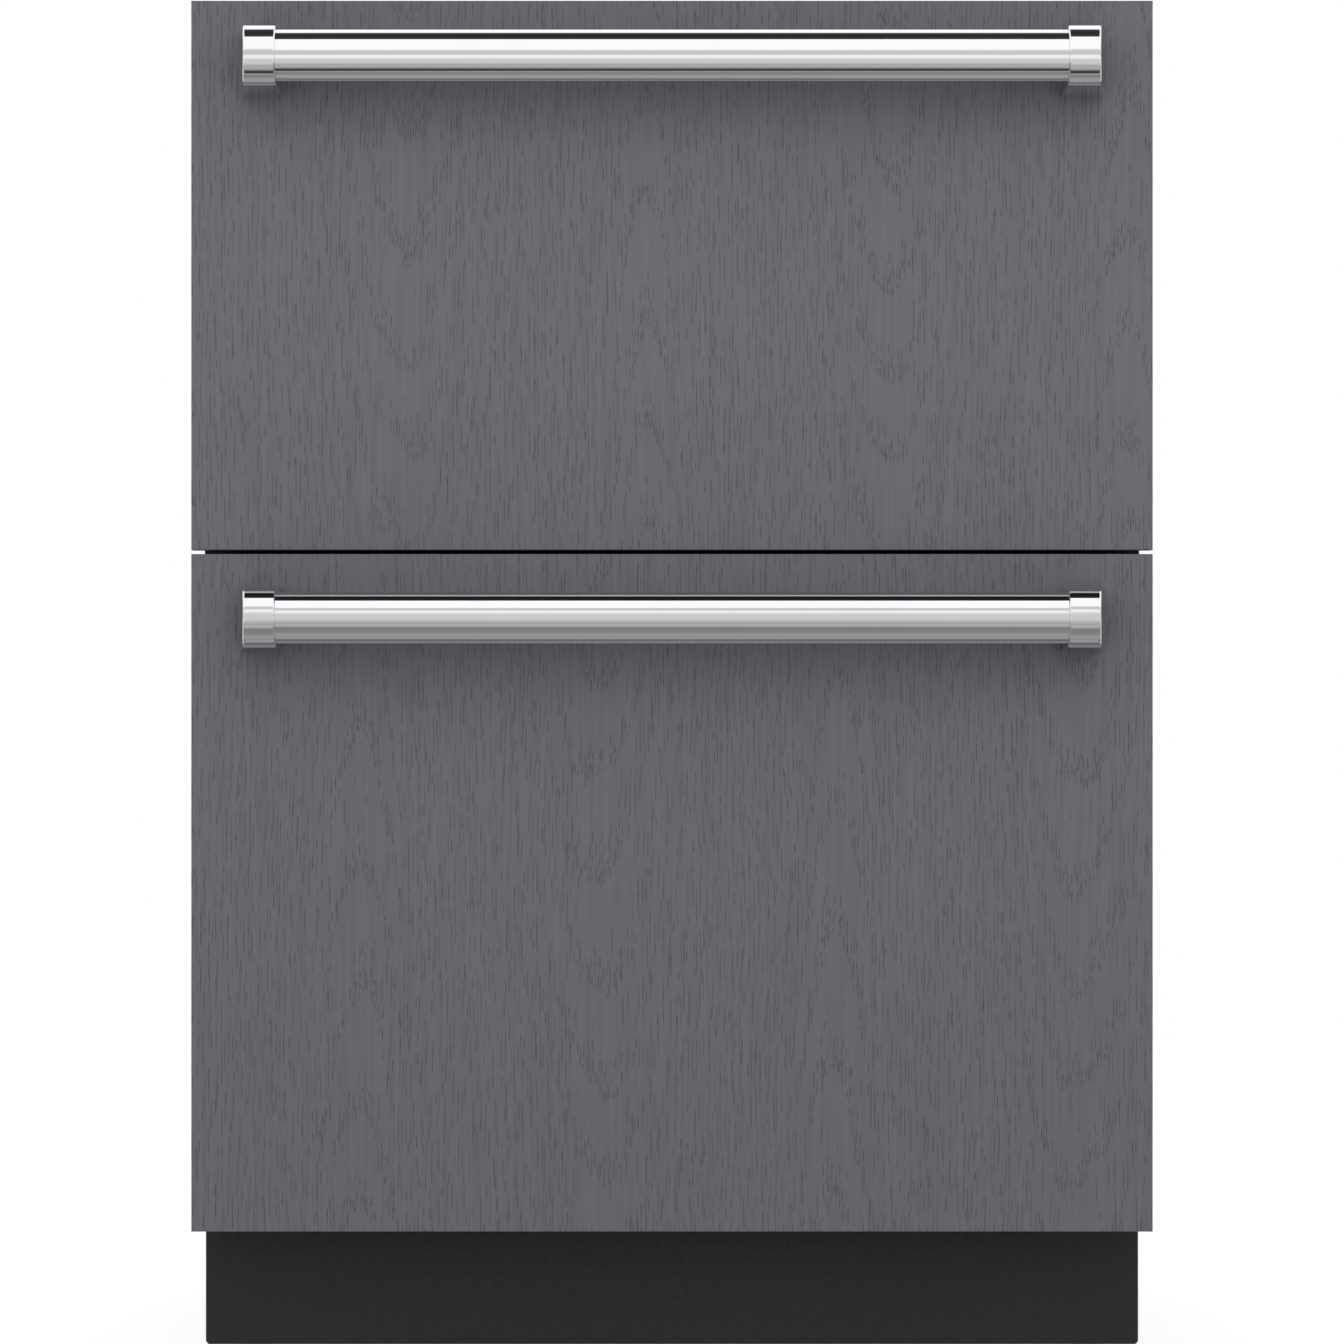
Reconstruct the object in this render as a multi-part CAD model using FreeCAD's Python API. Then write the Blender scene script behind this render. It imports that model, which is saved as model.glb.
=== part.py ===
import FreeCAD, Part
import math
import os

# A built-in freezer with two drawers behind wood overlay panels, for an opening under a counter.
# X points right as seen from the front, Y to the back and Z up. The origin lies on the floor, under the
# middle of the whole body from handle to back. All sizes are in millimetres.

Vector = FreeCAD.Vector
AXIS_X = Vector(1, 0, 0)
AXIS_Y = Vector(0, 1, 0)
AXIS_Z = Vector(0, 0, 1)

# Driving sizes of the whole freezer
PANEL_WIDTH = 603.0
PANEL_THICKNESS = 19.0
PANEL_EDGE_RADIUS = 0.8
UPPER_PANEL_HEIGHT = 344.5
LOWER_PANEL_HEIGHT = 425.0
PANEL_GAP = 2.5
TOE_HEIGHT = 104.0
BODY_DEPTH = 610.0

# Driving sizes of the handles
HANDLE_LENGTH = 526.5
HANDLE_DROP = 40.5
HANDLE_STANDOFF = 47.0
BAR_DIAMETER = 32.0
BAR_WALL = 2.0
BAR_SEAT_DEPTH = 14.0
POST_DIAMETER = 37.0
POST_WIDTH = 19.25
POST_FLARE_OUT = 7.3
POST_FLARE_UP = 2.0
POST_EDGE_RADIUS = 1.2
HANDLE_SCREW_DIAMETER = 5.0
HANDLE_SCREW_REACH = 16.0
HANDLE_SCREW_SPACING = 22.0
SCREW_HEAD_DIAMETER = 9.5
SCREW_HEAD_HEIGHT = 5.0

# Driving sizes of the cabinet
CABINET_WIDTH = 598.0
TOP_REVEAL = 6.0
SHEET = 1.2
FACE_FLANGE = 22.0
SIDE_WALL = 45.0
TOP_WALL = 45.0
REAR_WALL = 50.0
REAR_RECESS = 4.0
FLOOR_WALL = 45.0
LINER_THICKNESS = 2.0
MULLION_HEIGHT = 44.0
MULLION_DEPTH = 40.0
MACHINE_DEPTH = 195.0
MACHINE_TOP = 225.0
BASE_CLEARANCE = 24.0
BASE_LIP = 18.0
KICK_DEPTH = 18.0
KICK_CORNER = 2.0
BRACKET_THICKNESS = 2.0
BRACKET_WIDTH = 32.0
BRACKET_INSET_X = 59.0
BRACKET_REACH = 34.0
BRACKET_SEAT = 60.0
BRACKET_HOLE_DIAMETER = 5.2
BRACKET_CORNER = 8.0

# Driving sizes of the levelling feet
FOOT_INSET_X = 29.0
FOOT_INSET_Y = 50.0
FOOT_PAD_DIAMETER = 40.0
FOOT_PAD_HEIGHT = 9.0
FOOT_HEX_WIDTH = 17.0
FOOT_STEM_DIAMETER = 10.0
FOOT_TRAVEL = 20.0
FOOT_NUT_DIAMETER = 18.0
FOOT_NUT_HEIGHT = 12.0

# Driving sizes of the drawer fronts, bins and runners
CORE_THICKNESS = 36.0
CORE_INSET_SIDE = 3.0
CORE_INSET_END = 2.0
CORE_INSET_TOP = 10.0
FRONT_LINER_BOSS = 5.0
FRONT_LINER_BOSS_INSET = 60.0
FRONT_LINER_BOSS_GAP = 0.4
FRONT_LINER_BOSS_RADIUS = 4.0
GASKET_WIDTH = 14.0
GASKET_BASE_WIDTH = 8.0
GASKET_BASE_DEPTH = 5.0
GASKET_INSET = 2.0
GASKET_DEPTH = 13.0
GASKET_CORNER = 8.0
SLIDE_REAR_GAP = 10.0
SLIDE_HEIGHT = 46.0
SLIDE_DEPTH = 13.0
SLIDE_SHEET = 1.2
SLIDE_RETURN = 5.0
SLIDE_PLAY = 0.4
SLIDE_PROUD = 0.6
CARRIER_THICKNESS = 2.0
CARRIER_HEIGHT = 40.0
CARRIER_FRONT_HEIGHT = 80.0
CARRIER_GUSSET_LENGTH = 100.0
CARRIER_TAB = 20.0
CARRIER_EAR = 8.0
CARRIER_EAR_SLOPE = 16.0
SHAFT_DIAMETER = 8.0
SHAFT_REAR_INSET = 10.0
GEAR_MODULE = 1.5
GEAR_TEETH = 18
GEAR_FACE = 7.0
GEAR_DEDENDUM = 1.875
GEAR_BACKLASH = 0.4
FLANK_POINTS = 6
GEAR_PRESSURE_ANGLE = math.radians(20.0)
RACK_BODY = 5.0
RACK_DEPTH = 10.0
BIN_WALL = 2.5
BIN_CORNER = 10.0
BIN_FLOOR_RADIUS = 6.0
BIN_SIDE_GAP = 1.4
BIN_FRONT_GAP = 4.0
BIN_FLOOR_GAP = 9.0
BIN_TOP_GAP = 11.0
BIN_REAR_GAP = 8.0

# Driving sizes of the cooling machinery and controls
COMPRESSOR_DIAMETER = 132.0
COMPRESSOR_HEIGHT = 150.0
COMPRESSOR_INSET = 179.0
COMPRESSOR_PLATE = 3.0
COMPRESSOR_DOME_RADIUS = 30.0
COMPRESSOR_SEAM_HEIGHT = 6.0
COMPRESSOR_PORT_HEIGHT = 105.0
COMPRESSOR_DISCHARGE_LENGTH = 9.0
COMPRESSOR_SUCTION_LENGTH = 3.0
GROMMET_DIAMETER = 18.0
GROMMET_HEIGHT = 12.0
GROMMET_NECK_DIAMETER = 10.0
GROMMET_SPACING_X = 150.0
GROMMET_SPACING_Y = 90.0
CONDENSER_INSET = 84.0
CONDENSER_WIDTH = 80.0
CONDENSER_HEIGHT = 168.0
CONDENSER_LENGTH = 148.0
CONDENSER_FINS = 16
CONDENSER_TUBE_ROWS = 5
CONDENSER_STAND = 6.0
CONDENSER_PORT_LENGTH = 6.0
CONDENSER_FAN_DIAMETER = 124.0
CONDENSER_FAN_DEPTH = 18.0
CONDENSER_FAN_HUB = 34.0
CONDENSER_FAN_SHAFT = 7.0
CONDENSER_FAN_SPACING = 90.0
CONDENSER_MOTOR_DIAMETER = 46.0
CONDENSER_MOTOR_GAP = 6.0
FAN_FRAME_THICKNESS = 4.0
FAN_ARM_WIDTH = 8.0
FAN_TIP_GAP = 6.0
FAN_BLADES = 5
FAN_BLADE_THICKNESS = 1.5
FAN_BLADE_PITCH = 38.0
FAN_HUB_END = 1.2
EVAPORATOR_WIDTH = 360.0
EVAPORATOR_HEIGHT = 150.0
EVAPORATOR_DEPTH = 40.0
EVAPORATOR_FINS = 20
EVAPORATOR_TUBE_ROWS = 4
EVAPORATOR_STAND = 6.0
EVAPORATOR_FAN_DIAMETER = 80.0
EVAPORATOR_FAN_DEPTH = 13.0
EVAPORATOR_FAN_HUB = 22.0
EVAPORATOR_FAN_SHAFT = 5.0
EVAPORATOR_MOTOR_DIAMETER = 42.0
EVAPORATOR_MOTOR_DEPTH = 27.0
EVAPORATOR_MOTOR_GAP = 0.6
FIN_THICKNESS = 1.0
COIL_TUBE_DIAMETER = 8.0
COIL_TUBE_EDGE = 17.0
COVER_THICKNESS = 2.5
COVER_SPACE = 60.0
VENT_WIDTH = 5.0
VENT_PITCH = 11.0
REAR_VENT_HEIGHT = 40.0
REAR_VENT_GAP = 20.0
REAR_VENT_BOTTOM = 60.0
REAR_VENT_INLET_GAP = 36.0
REAR_VENT_EDGE = 32.8
OUTLET_VENT_HEIGHT = 64.0
SUCTION_DIAMETER = 10.0
LIQUID_DIAMETER = 6.0
DRAIN_DIAMETER = 16.0
PIPE_BEND = 9.0
PIPE_RUN = 27.0
DRIER_DIAMETER = 16.0
DRIER_LENGTH = 70.0
DRIER_END_RADIUS = 4.0
CHASE_WIDTH = 74.0
CHASE_DEPTH = 24.0
WINDOW_HEIGHT = 34.0
PAN_COMPRESSOR_GAP = 3.0
PAN_FAN_GAP = 28.0
PAN_DEPTH = 120.0
PAN_HEIGHT = 40.0
PAN_WALL = 2.0
CONTROL_WIDTH = 140.0
CONTROL_DEPTH = 46.0
CONTROL_HEIGHT = 22.0
CONTROL_WALL = 2.0
CONTROL_SETBACK = 6.0
BUTTON_DIAMETER = 12.0
BUTTON_PITCH = 34.0
BUTTON_TRAVEL = 1.5
BUTTON_REVEAL = 0.5
BUTTON_RIM = 1.5
LIGHT_LENGTH = 300.0
LIGHT_WIDTH = 18.0
LIGHT_HEIGHT = 7.0
LIGHT_EDGE_RADIUS = 2.3
INLET_WIDTH = 48.0
INLET_HEIGHT = 28.0
INLET_DEPTH = 22.0
INLET_INSET = 54.0
INLET_WALL = 5.0
INLET_PIN_WIDTH = 2.4
INLET_PIN_PITCH = 9.5

# Clearances
RUNNING_GAP = 0.05
SEAL_GAP = 0.3
BUTTON_GAP = 0.2

# Places worked out from the driving sizes
handle_reach = HANDLE_STANDOFF + POST_DIAMETER / 2
total_depth = BODY_DEPTH + handle_reach
panel_y = handle_reach - total_depth / 2
back_y = panel_y + BODY_DEPTH
rear_y = back_y - REAR_RECESS
core_y = panel_y + PANEL_THICKNESS
core_back_y = core_y + CORE_THICKNESS
face_y = core_back_y + GASKET_DEPTH
lower_z = TOE_HEIGHT
upper_z = lower_z + LOWER_PANEL_HEIGHT + PANEL_GAP
height = upper_z + UPPER_PANEL_HEIGHT
cabinet_top = height - TOP_REVEAL
cabinet_x = CABINET_WIDTH / 2
inner_x = cabinet_x - SHEET
cavity_x = cabinet_x - SIDE_WALL
cavity_floor = TOE_HEIGHT + FLOOR_WALL
cavity_top = cabinet_top - TOP_WALL
cavity_rear = back_y - REAR_WALL
machine_y = back_y - MACHINE_DEPTH
step_y = machine_y - FLOOR_WALL
step_z = MACHINE_TOP + FLOOR_WALL
base_top = BASE_CLEARANCE + SHEET
mullion_z = upper_z - PANEL_GAP / 2
mullion_top = mullion_z + MULLION_HEIGHT / 2
mullion_bottom = mullion_z - MULLION_HEIGHT / 2
slide_front_y = face_y + LINER_THICKNESS
cover_y = cavity_rear - COVER_SPACE
slide_rear_y = cover_y - SLIDE_REAR_GAP


def block(xs, ys, zs):
    """A box between two values on each axis."""
    size = (xs[1] - xs[0], ys[1] - ys[0], zs[1] - zs[0])
    return Part.makeBox(*size, Vector(xs[0], ys[0], zs[0]))


def rod(radius, start, end):
    """A straight round bar from one point to another."""
    start = Vector(*start)
    along = Vector(*end) - start
    return Part.makeCylinder(radius, along.Length, start, along)


def fused(shapes):
    """Several shapes joined into one solid without seams."""
    first, *others = shapes
    return first.multiFuse(others).removeSplitter() if others else first


def drilled(shape, cutters):
    """A shape with several cutters taken out of it."""
    return shape.cut(Part.makeCompound(cutters))


def mirrored(shape):
    """The same piece on the other side of the middle plane."""
    return shape.mirror(Vector(0, 0, 0), AXIS_X)


def pair(shape):
    """A piece and its mirror image."""
    return [shape, mirrored(shape)]


def edges_along(shape, axis):
    """The straight edges that run along one axis."""
    straight = [e for e in shape.Edges if isinstance(e.Curve, Part.Line)]
    return [e for e in straight if abs(abs(e.Curve.Direction.dot(axis)) - 1) < 1e-6]


def prism(points, along):
    """A closed outline pushed along a vector."""
    outline = [Vector(*p) for p in points]
    return Part.Face(Part.makePolygon(outline + outline[:1])).extrude(along)


def pipe(points, diameter):
    """A tube along straight runs joined by tangent bends."""
    corners = [Vector(*p) for p in points]
    edges = []
    start = corners[0]
    for before, corner, after in zip(corners, corners[1:], corners[2:]):
        back = (before - corner).normalize()
        ahead = (after - corner).normalize()
        half_turn = (math.pi - back.getAngle(ahead)) / 2
        reach = PIPE_BEND * math.tan(half_turn)
        bisector = (back + ahead).normalize()
        middle = corner + bisector * (PIPE_BEND / math.cos(half_turn) - PIPE_BEND)
        edges.append(Part.LineSegment(start, corner + back * reach).toShape())
        edges.append(Part.Arc(corner + back * reach, middle, corner + ahead * reach).toShape())
        start = corner + ahead * reach
    edges.append(Part.LineSegment(start, corners[-1]).toShape())
    section = Part.Wire(Part.makeCircle(diameter / 2, corners[0], corners[1] - corners[0]))
    return Part.Wire(edges).makePipeShell([section], True, False)


def save(name, *solids):
    """Writes one node: a single solid, or a group of like solids."""
    shape = solids[0] if len(solids) == 1 else Part.makeCompound(solids)
    shape.exportStep(os.path.join("parts", name + ".step"))


# Cabinet shell: sheets folded at the front into the flange that the door seals close against
def side_panel():
    wall = block((inner_x, cabinet_x), (face_y, back_y), (BASE_CLEARANCE, cabinet_top))
    flange_x = (cabinet_x - FACE_FLANGE, inner_x)
    flange = block(flange_x, (face_y, face_y + SHEET), (TOE_HEIGHT, cabinet_top))
    toe = block((inner_x, cabinet_x), (face_y, face_y + KICK_DEPTH), (BASE_CLEARANCE, TOE_HEIGHT))
    return fused([wall.cut(toe), flange])


def top_panel():
    sheet = block((-inner_x, inner_x), (face_y + SHEET, back_y), (cabinet_top - SHEET, cabinet_top))
    flange_x = cabinet_x - FACE_FLANGE
    flange = block((-flange_x, flange_x), (face_y, face_y + SHEET), (cabinet_top - FACE_FLANGE, cabinet_top))
    return fused([sheet, flange])


def back_panel():
    return block((-inner_x, inner_x), (rear_y - SHEET, rear_y), (MACHINE_TOP, cabinet_top - SHEET))


# The pipes climb from the machine space to the evaporator in a chase in the rear wall
def pipe_chase(bottom):
    xs = (chase_x - CHASE_WIDTH / 2, chase_x + CHASE_WIDTH / 2)
    rear = rear_y - SHEET
    shaft = block(xs, (rear - CHASE_DEPTH, rear), (bottom, evaporator_z + WINDOW_HEIGHT))
    window = block(xs, (cavity_rear, rear), (evaporator_z, evaporator_z + WINDOW_HEIGHT))
    return fused([shaft, window])


def machine_bulkhead():
    xs = (-inner_x, inner_x)
    deck = block(xs, (face_y, machine_y), (TOE_HEIGHT - SHEET, TOE_HEIGHT))
    riser = block(xs, (machine_y, machine_y + SHEET), (TOE_HEIGHT - SHEET, MACHINE_TOP))
    ceiling = block(xs, (machine_y, rear_y), (MACHINE_TOP - SHEET, MACHINE_TOP))
    return fused([deck, riser, ceiling]).cut(pipe_chase(MACHINE_TOP - SHEET))


def stepped_space(grow, front):
    """The drawer space with its step over the machinery, grown on every wall."""
    xs = (-cavity_x - grow, cavity_x + grow)
    top = cavity_top + grow
    low = block(xs, (front, step_y + grow), (cavity_floor - grow, top))
    high = block(xs, (front, cavity_rear + grow), (step_z - grow, top))
    return fused([low, high])


def insulation():
    front = face_y + LINER_THICKNESS
    foam = block((-inner_x, inner_x), (front, rear_y - SHEET), (TOE_HEIGHT, cabinet_top - SHEET))
    machine = block((-inner_x, inner_x), (machine_y, rear_y), (TOE_HEIGHT, MACHINE_TOP))
    hollow = stepped_space(LINER_THICKNESS, front)
    return drilled(foam, [machine, hollow]).cut(pipe_chase(MACHINE_TOP))


def liner():
    tub = stepped_space(LINER_THICKNESS, face_y)
    flange_x = cabinet_x - FACE_FLANGE
    zs = (TOE_HEIGHT + FACE_FLANGE, cabinet_top - FACE_FLANGE)
    flange = block((-flange_x, flange_x), (face_y, face_y + LINER_THICKNESS), zs)
    return fused([tub, flange]).cut(stepped_space(0.0, face_y)).cut(pipe_chase(MACHINE_TOP))


def cross_rails():
    zs = (mullion_bottom, mullion_top)
    mullion = block((-cavity_x, cavity_x), (face_y, face_y + MULLION_DEPTH), zs)
    rail_x = cabinet_x - FACE_FLANGE
    rail = block((-rail_x, rail_x), (face_y, face_y + SHEET), (TOE_HEIGHT, TOE_HEIGHT + FACE_FLANGE))
    return [mullion, rail]


def kick_plate():
    zs = (BASE_CLEARANCE, TOE_HEIGHT - SHEET)
    folded = block((-cabinet_x, cabinet_x), (face_y, face_y + KICK_DEPTH), zs)
    lower_corners = [e for e in edges_along(folded, AXIS_Y) if e.CenterOfMass.z < zs[0] + KICK_CORNER]
    folded = folded.makeChamfer(KICK_CORNER, lower_corners)
    front_folds = [e for e in edges_along(folded, AXIS_Z) if e.CenterOfMass.y < face_y + KICK_CORNER]
    folded = folded.makeFillet(SHEET, front_folds)
    inside = block((-inner_x, inner_x), (face_y + SHEET, face_y + KICK_DEPTH), zs)
    return folded.cut(inside)


def foot_places():
    front = face_y + FOOT_INSET_Y
    rear = back_y - FOOT_INSET_Y
    left = FOOT_INSET_X - cabinet_x
    return {
        "foot_front_left": (left, front),
        "foot_front_right": (-left, front),
        "foot_rear_left": (left, rear),
        "foot_rear_right": (-left, rear),
    }


def base_pan():
    ys = (face_y + SHEET, rear_y - SHEET)
    floor = block((-inner_x, inner_x), ys, (BASE_CLEARANCE, base_top))
    lip = block((inner_x - SHEET, inner_x), (face_y + KICK_DEPTH, ys[1]), (base_top, base_top + BASE_LIP))
    nuts = []
    holes = []
    for x, y in foot_places().values():
        nuts.append(rod(FOOT_NUT_DIAMETER / 2, (x, y, base_top), (x, y, base_top + FOOT_NUT_HEIGHT)))
        bore = FOOT_STEM_DIAMETER / 2 + RUNNING_GAP
        holes.append(rod(bore, (x, y, BASE_CLEARANCE), (x, y, base_top + FOOT_NUT_HEIGHT)))
    return drilled(fused([floor, *pair(lip), *nuts]), holes)


def levelling_foot(x, y):
    pad = rod(FOOT_PAD_DIAMETER / 2, (x, y, 0), (x, y, FOOT_PAD_HEIGHT))
    corner = FOOT_HEX_WIDTH / 2 / math.cos(math.pi / 6)
    turns = [math.pi / 3 * side for side in range(6)]
    hexagon = [(x + corner * math.cos(a), y + corner * math.sin(a), FOOT_PAD_HEIGHT) for a in turns]
    key = prism(hexagon, AXIS_Z * (BASE_CLEARANCE - FOOT_PAD_HEIGHT))
    stem_top = base_top + FOOT_NUT_HEIGHT + FOOT_TRAVEL
    stem = rod(FOOT_STEM_DIAMETER / 2, (x, y, BASE_CLEARANCE), (x, y, stem_top))
    return fused([pad, key, stem])


def counter_bracket():
    x = cabinet_x - BRACKET_INSET_X
    xs = (x - BRACKET_WIDTH / 2, x + BRACKET_WIDTH / 2)
    top = cabinet_top + BRACKET_THICKNESS
    tab = block(xs, (face_y - BRACKET_REACH, face_y + BRACKET_SEAT), (cabinet_top, top))
    corners = [e for e in edges_along(tab, AXIS_Z) if e.CenterOfMass.y < face_y]
    tab = tab.makeFillet(BRACKET_CORNER, corners)
    y = face_y - BRACKET_REACH / 2
    return tab.cut(rod(BRACKET_HOLE_DIAMETER / 2, (x, y, cabinet_top), (x, y, top)))


# Refrigeration: compressor, condenser and its fan in the machine space, evaporator behind the upper bin
machine_mid_y = back_y - MACHINE_DEPTH / 2
compressor_x = COMPRESSOR_INSET - cabinet_x
compressor_z = base_top + GROMMET_HEIGHT
compressor_plate_top = compressor_z + COMPRESSOR_PLATE
compressor_top = compressor_plate_top + COMPRESSOR_HEIGHT
compressor_port_z = compressor_plate_top + COMPRESSOR_PORT_HEIGHT
compressor_port_x = compressor_x + COMPRESSOR_DIAMETER / 2 + COMPRESSOR_DISCHARGE_LENGTH
compressor_port_y = machine_mid_y + COMPRESSOR_DIAMETER / 2 + COMPRESSOR_SUCTION_LENGTH
condenser_x = cabinet_x - CONDENSER_INSET
fan_x = condenser_x - CONDENSER_FAN_SPACING
fan_front_x = fan_x - FAN_FRAME_THICKNESS / 2 - CONDENSER_FAN_DEPTH
compressor_plate_x = compressor_x + GROMMET_SPACING_X / 2 + GROMMET_DIAMETER / 2
pan_x = (compressor_plate_x + PAN_COMPRESSOR_GAP, fan_front_x - PAN_FAN_GAP)
chase_x = (pan_x[0] + pan_x[1]) / 2
condenser_z = base_top + CONDENSER_STAND
condenser_top = condenser_z + CONDENSER_HEIGHT
condenser_port_z = condenser_top + CONDENSER_PORT_LENGTH
condenser_y = (machine_mid_y - CONDENSER_LENGTH / 2, machine_mid_y + CONDENSER_LENGTH / 2)
fan_mid_z = condenser_z + CONDENSER_HEIGHT / 2
pipe_top_z = MACHINE_TOP - SHEET - DRIER_DIAMETER / 2 - SEAL_GAP
chase_y = rear_y - SHEET - CHASE_DEPTH / 2
evaporator_z = mullion_top + COVER_THICKNESS + DRAIN_DIAMETER
evaporator_top = evaporator_z + EVAPORATOR_HEIGHT
evaporator_rear = cavity_rear - EVAPORATOR_STAND
evaporator_y = (evaporator_rear - EVAPORATOR_DEPTH, evaporator_rear)
evaporator_port_z = evaporator_z + WINDOW_HEIGHT / 2
evaporator_fan_z = evaporator_top + EVAPORATOR_FAN_DIAMETER / 2 + FAN_TIP_GAP
evaporator_motor_y = cavity_rear - EVAPORATOR_MOTOR_DEPTH
suction_x = chase_x - CHASE_WIDTH / 3
liquid_x = chase_x + CHASE_WIDTH / 3


def grommet_places():
    xs = (compressor_x - GROMMET_SPACING_X / 2, compressor_x + GROMMET_SPACING_X / 2)
    ys = (machine_mid_y - GROMMET_SPACING_Y / 2, machine_mid_y + GROMMET_SPACING_Y / 2)
    return [(x, y) for x in xs for y in ys]


def compressor():
    half_x = GROMMET_SPACING_X / 2 + GROMMET_DIAMETER / 2
    half_y = GROMMET_SPACING_Y / 2 + GROMMET_DIAMETER / 2
    plate_xs = (compressor_x - half_x, compressor_x + half_x)
    plate_ys = (machine_mid_y - half_y, machine_mid_y + half_y)
    plate = block(plate_xs, plate_ys, (compressor_z, compressor_plate_top))
    plate = plate.makeFillet(GROMMET_DIAMETER / 2, edges_along(plate, AXIS_Z))
    bore = GROMMET_NECK_DIAMETER / 2 + RUNNING_GAP
    holes = [rod(bore, (x, y, compressor_z), (x, y, compressor_plate_top)) for x, y in grommet_places()]
    radius = COMPRESSOR_DIAMETER / 2
    axis = (compressor_x, machine_mid_y)
    pot = rod(radius, (*axis, compressor_plate_top), (*axis, compressor_top))
    top_rim = [e for e in pot.Edges if abs(e.BoundBox.ZMin - compressor_top) < RUNNING_GAP]
    pot = pot.makeFillet(COMPRESSOR_DOME_RADIUS, top_rim)
    seam_z = compressor_plate_top + COMPRESSOR_HEIGHT / 2
    seam = rod(radius + COMPRESSOR_PLATE, (*axis, seam_z), (*axis, seam_z + COMPRESSOR_SEAM_HEIGHT))
    port_z = compressor_port_z
    discharge = rod(LIQUID_DIAMETER / 2, (*axis, port_z), (compressor_port_x, machine_mid_y, port_z))
    suction = rod(SUCTION_DIAMETER / 2, (*axis, port_z), (compressor_x, compressor_port_y, port_z))
    return fused([drilled(plate, holes), pot, seam, discharge, suction])


def compressor_grommets():
    grommets = []
    for x, y in grommet_places():
        body = rod(GROMMET_DIAMETER / 2, (x, y, base_top), (x, y, compressor_z))
        neck = rod(GROMMET_NECK_DIAMETER / 2, (x, y, compressor_z), (x, y, compressor_plate_top))
        grommets.append(fused([body, neck]))
    return grommets


def spread(low, high, count):
    """Evenly spaced values from low to high."""
    step = (high - low) / (count - 1)
    return [low + step * i for i in range(count)]


def condenser():
    xs = (condenser_x - CONDENSER_WIDTH / 2, condenser_x + CONDENSER_WIDTH / 2)
    first, last = condenser_y
    pieces = []
    for i, y in enumerate(spread(first, last - FIN_THICKNESS, CONDENSER_FINS)):
        bottom = base_top if i in (0, CONDENSER_FINS - 1) else condenser_z
        pieces.append(block(xs, (y, y + FIN_THICKNESS), (bottom, condenser_top)))
    top_row = condenser_top - COIL_TUBE_EDGE
    for x in (condenser_x - CONDENSER_WIDTH / 4, condenser_x + CONDENSER_WIDTH / 4):
        for z in spread(condenser_z + COIL_TUBE_EDGE, top_row, CONDENSER_TUBE_ROWS):
            pieces.append(rod(COIL_TUBE_DIAMETER / 2, (x, first, z), (x, last, z)))
    for port in condenser_ports():
        pieces.append(rod(LIQUID_DIAMETER / 2, (port.x, port.y, top_row), (port.x, port.y, port.z)))
    return fused(pieces)


def condenser_ports():
    """Where the hot gas goes in and the liquid comes out, each between two fins of the coil's top row."""
    fin_pitch = (CONDENSER_LENGTH - FIN_THICKNESS) / (CONDENSER_FINS - 1)
    middle_fin = CONDENSER_FINS // 2
    middle_y = condenser_y[0] + fin_pitch * (middle_fin - 0.5)
    offset_y = fin_pitch * (middle_fin // 2)
    offset_x = CONDENSER_WIDTH / 4
    gas = Vector(condenser_x - offset_x, middle_y - offset_y, condenser_port_z)
    liquid = Vector(condenser_x + offset_x, middle_y + offset_y, condenser_port_z)
    return gas, liquid


def fan_blade(diameter, depth, hub_diameter, shaft_diameter):
    """A fan about the Z axis, its hub open below for the motor shaft."""
    hub = rod(hub_diameter / 2, (0, 0, 0), (0, 0, depth))
    half_chord = (depth / 2 - FAN_BLADE_THICKNESS) / math.sin(math.radians(FAN_BLADE_PITCH))
    half_blade = FAN_BLADE_THICKNESS / 2
    reach = (shaft_diameter, diameter / 2)
    blades = []
    for turn in range(FAN_BLADES):
        blade = block(reach, (-half_chord, half_chord), (-half_blade, half_blade))
        blade.rotate(Vector(0, 0, 0), AXIS_X, FAN_BLADE_PITCH)
        blade.translate(AXIS_Z * depth / 2)
        blade.rotate(Vector(0, 0, 0), AXIS_Z, 360.0 / FAN_BLADES * turn)
        blades.append(blade)
    disc = rod(diameter / 2, (0, 0, 0), (0, 0, depth))
    bore = rod(shaft_diameter / 2 + RUNNING_GAP, (0, 0, 0), (0, 0, depth - FAN_HUB_END))
    return fused([hub, *blades]).common(disc).cut(bore)


def condenser_fan_frame():
    radius = CONDENSER_FAN_DIAMETER / 2 + FAN_TIP_GAP
    xs = (fan_x, fan_x + FAN_FRAME_THICKNESS)
    plate = block(xs, condenser_y, (base_top, condenser_top))
    middle = (machine_mid_y, fan_mid_z)
    plate = plate.cut(rod(radius, (xs[0], *middle), (xs[1], *middle)))
    motor_radius = CONDENSER_MOTOR_DIAMETER / 2
    motor_x = (xs[1] + CONDENSER_MOTOR_GAP, condenser_x - CONDENSER_WIDTH / 2 - CONDENSER_MOTOR_GAP)
    motor = rod(motor_radius, (motor_x[0], *middle), (motor_x[1], *middle))
    hub_x = xs[0] - FAN_FRAME_THICKNESS / 2
    shaft_end = hub_x - CONDENSER_FAN_DEPTH + 2 * FAN_HUB_END
    shaft = rod(CONDENSER_FAN_SHAFT / 2, (shaft_end, *middle), (motor_x[0], *middle))
    half = FAN_ARM_WIDTH / 2
    arm_xs = (xs[1], motor_x[0] + FAN_ARM_WIDTH)
    arm_ys = (machine_mid_y - half, machine_mid_y + half)
    arm = block(arm_xs, arm_ys, (fan_mid_z - radius - half, fan_mid_z + radius + half))
    hub_room = rod(motor_radius - FAN_HUB_END, (arm_xs[0], *middle), (motor_x[0], *middle))
    return fused([plate, motor, shaft, arm.cut(hub_room)])


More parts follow.
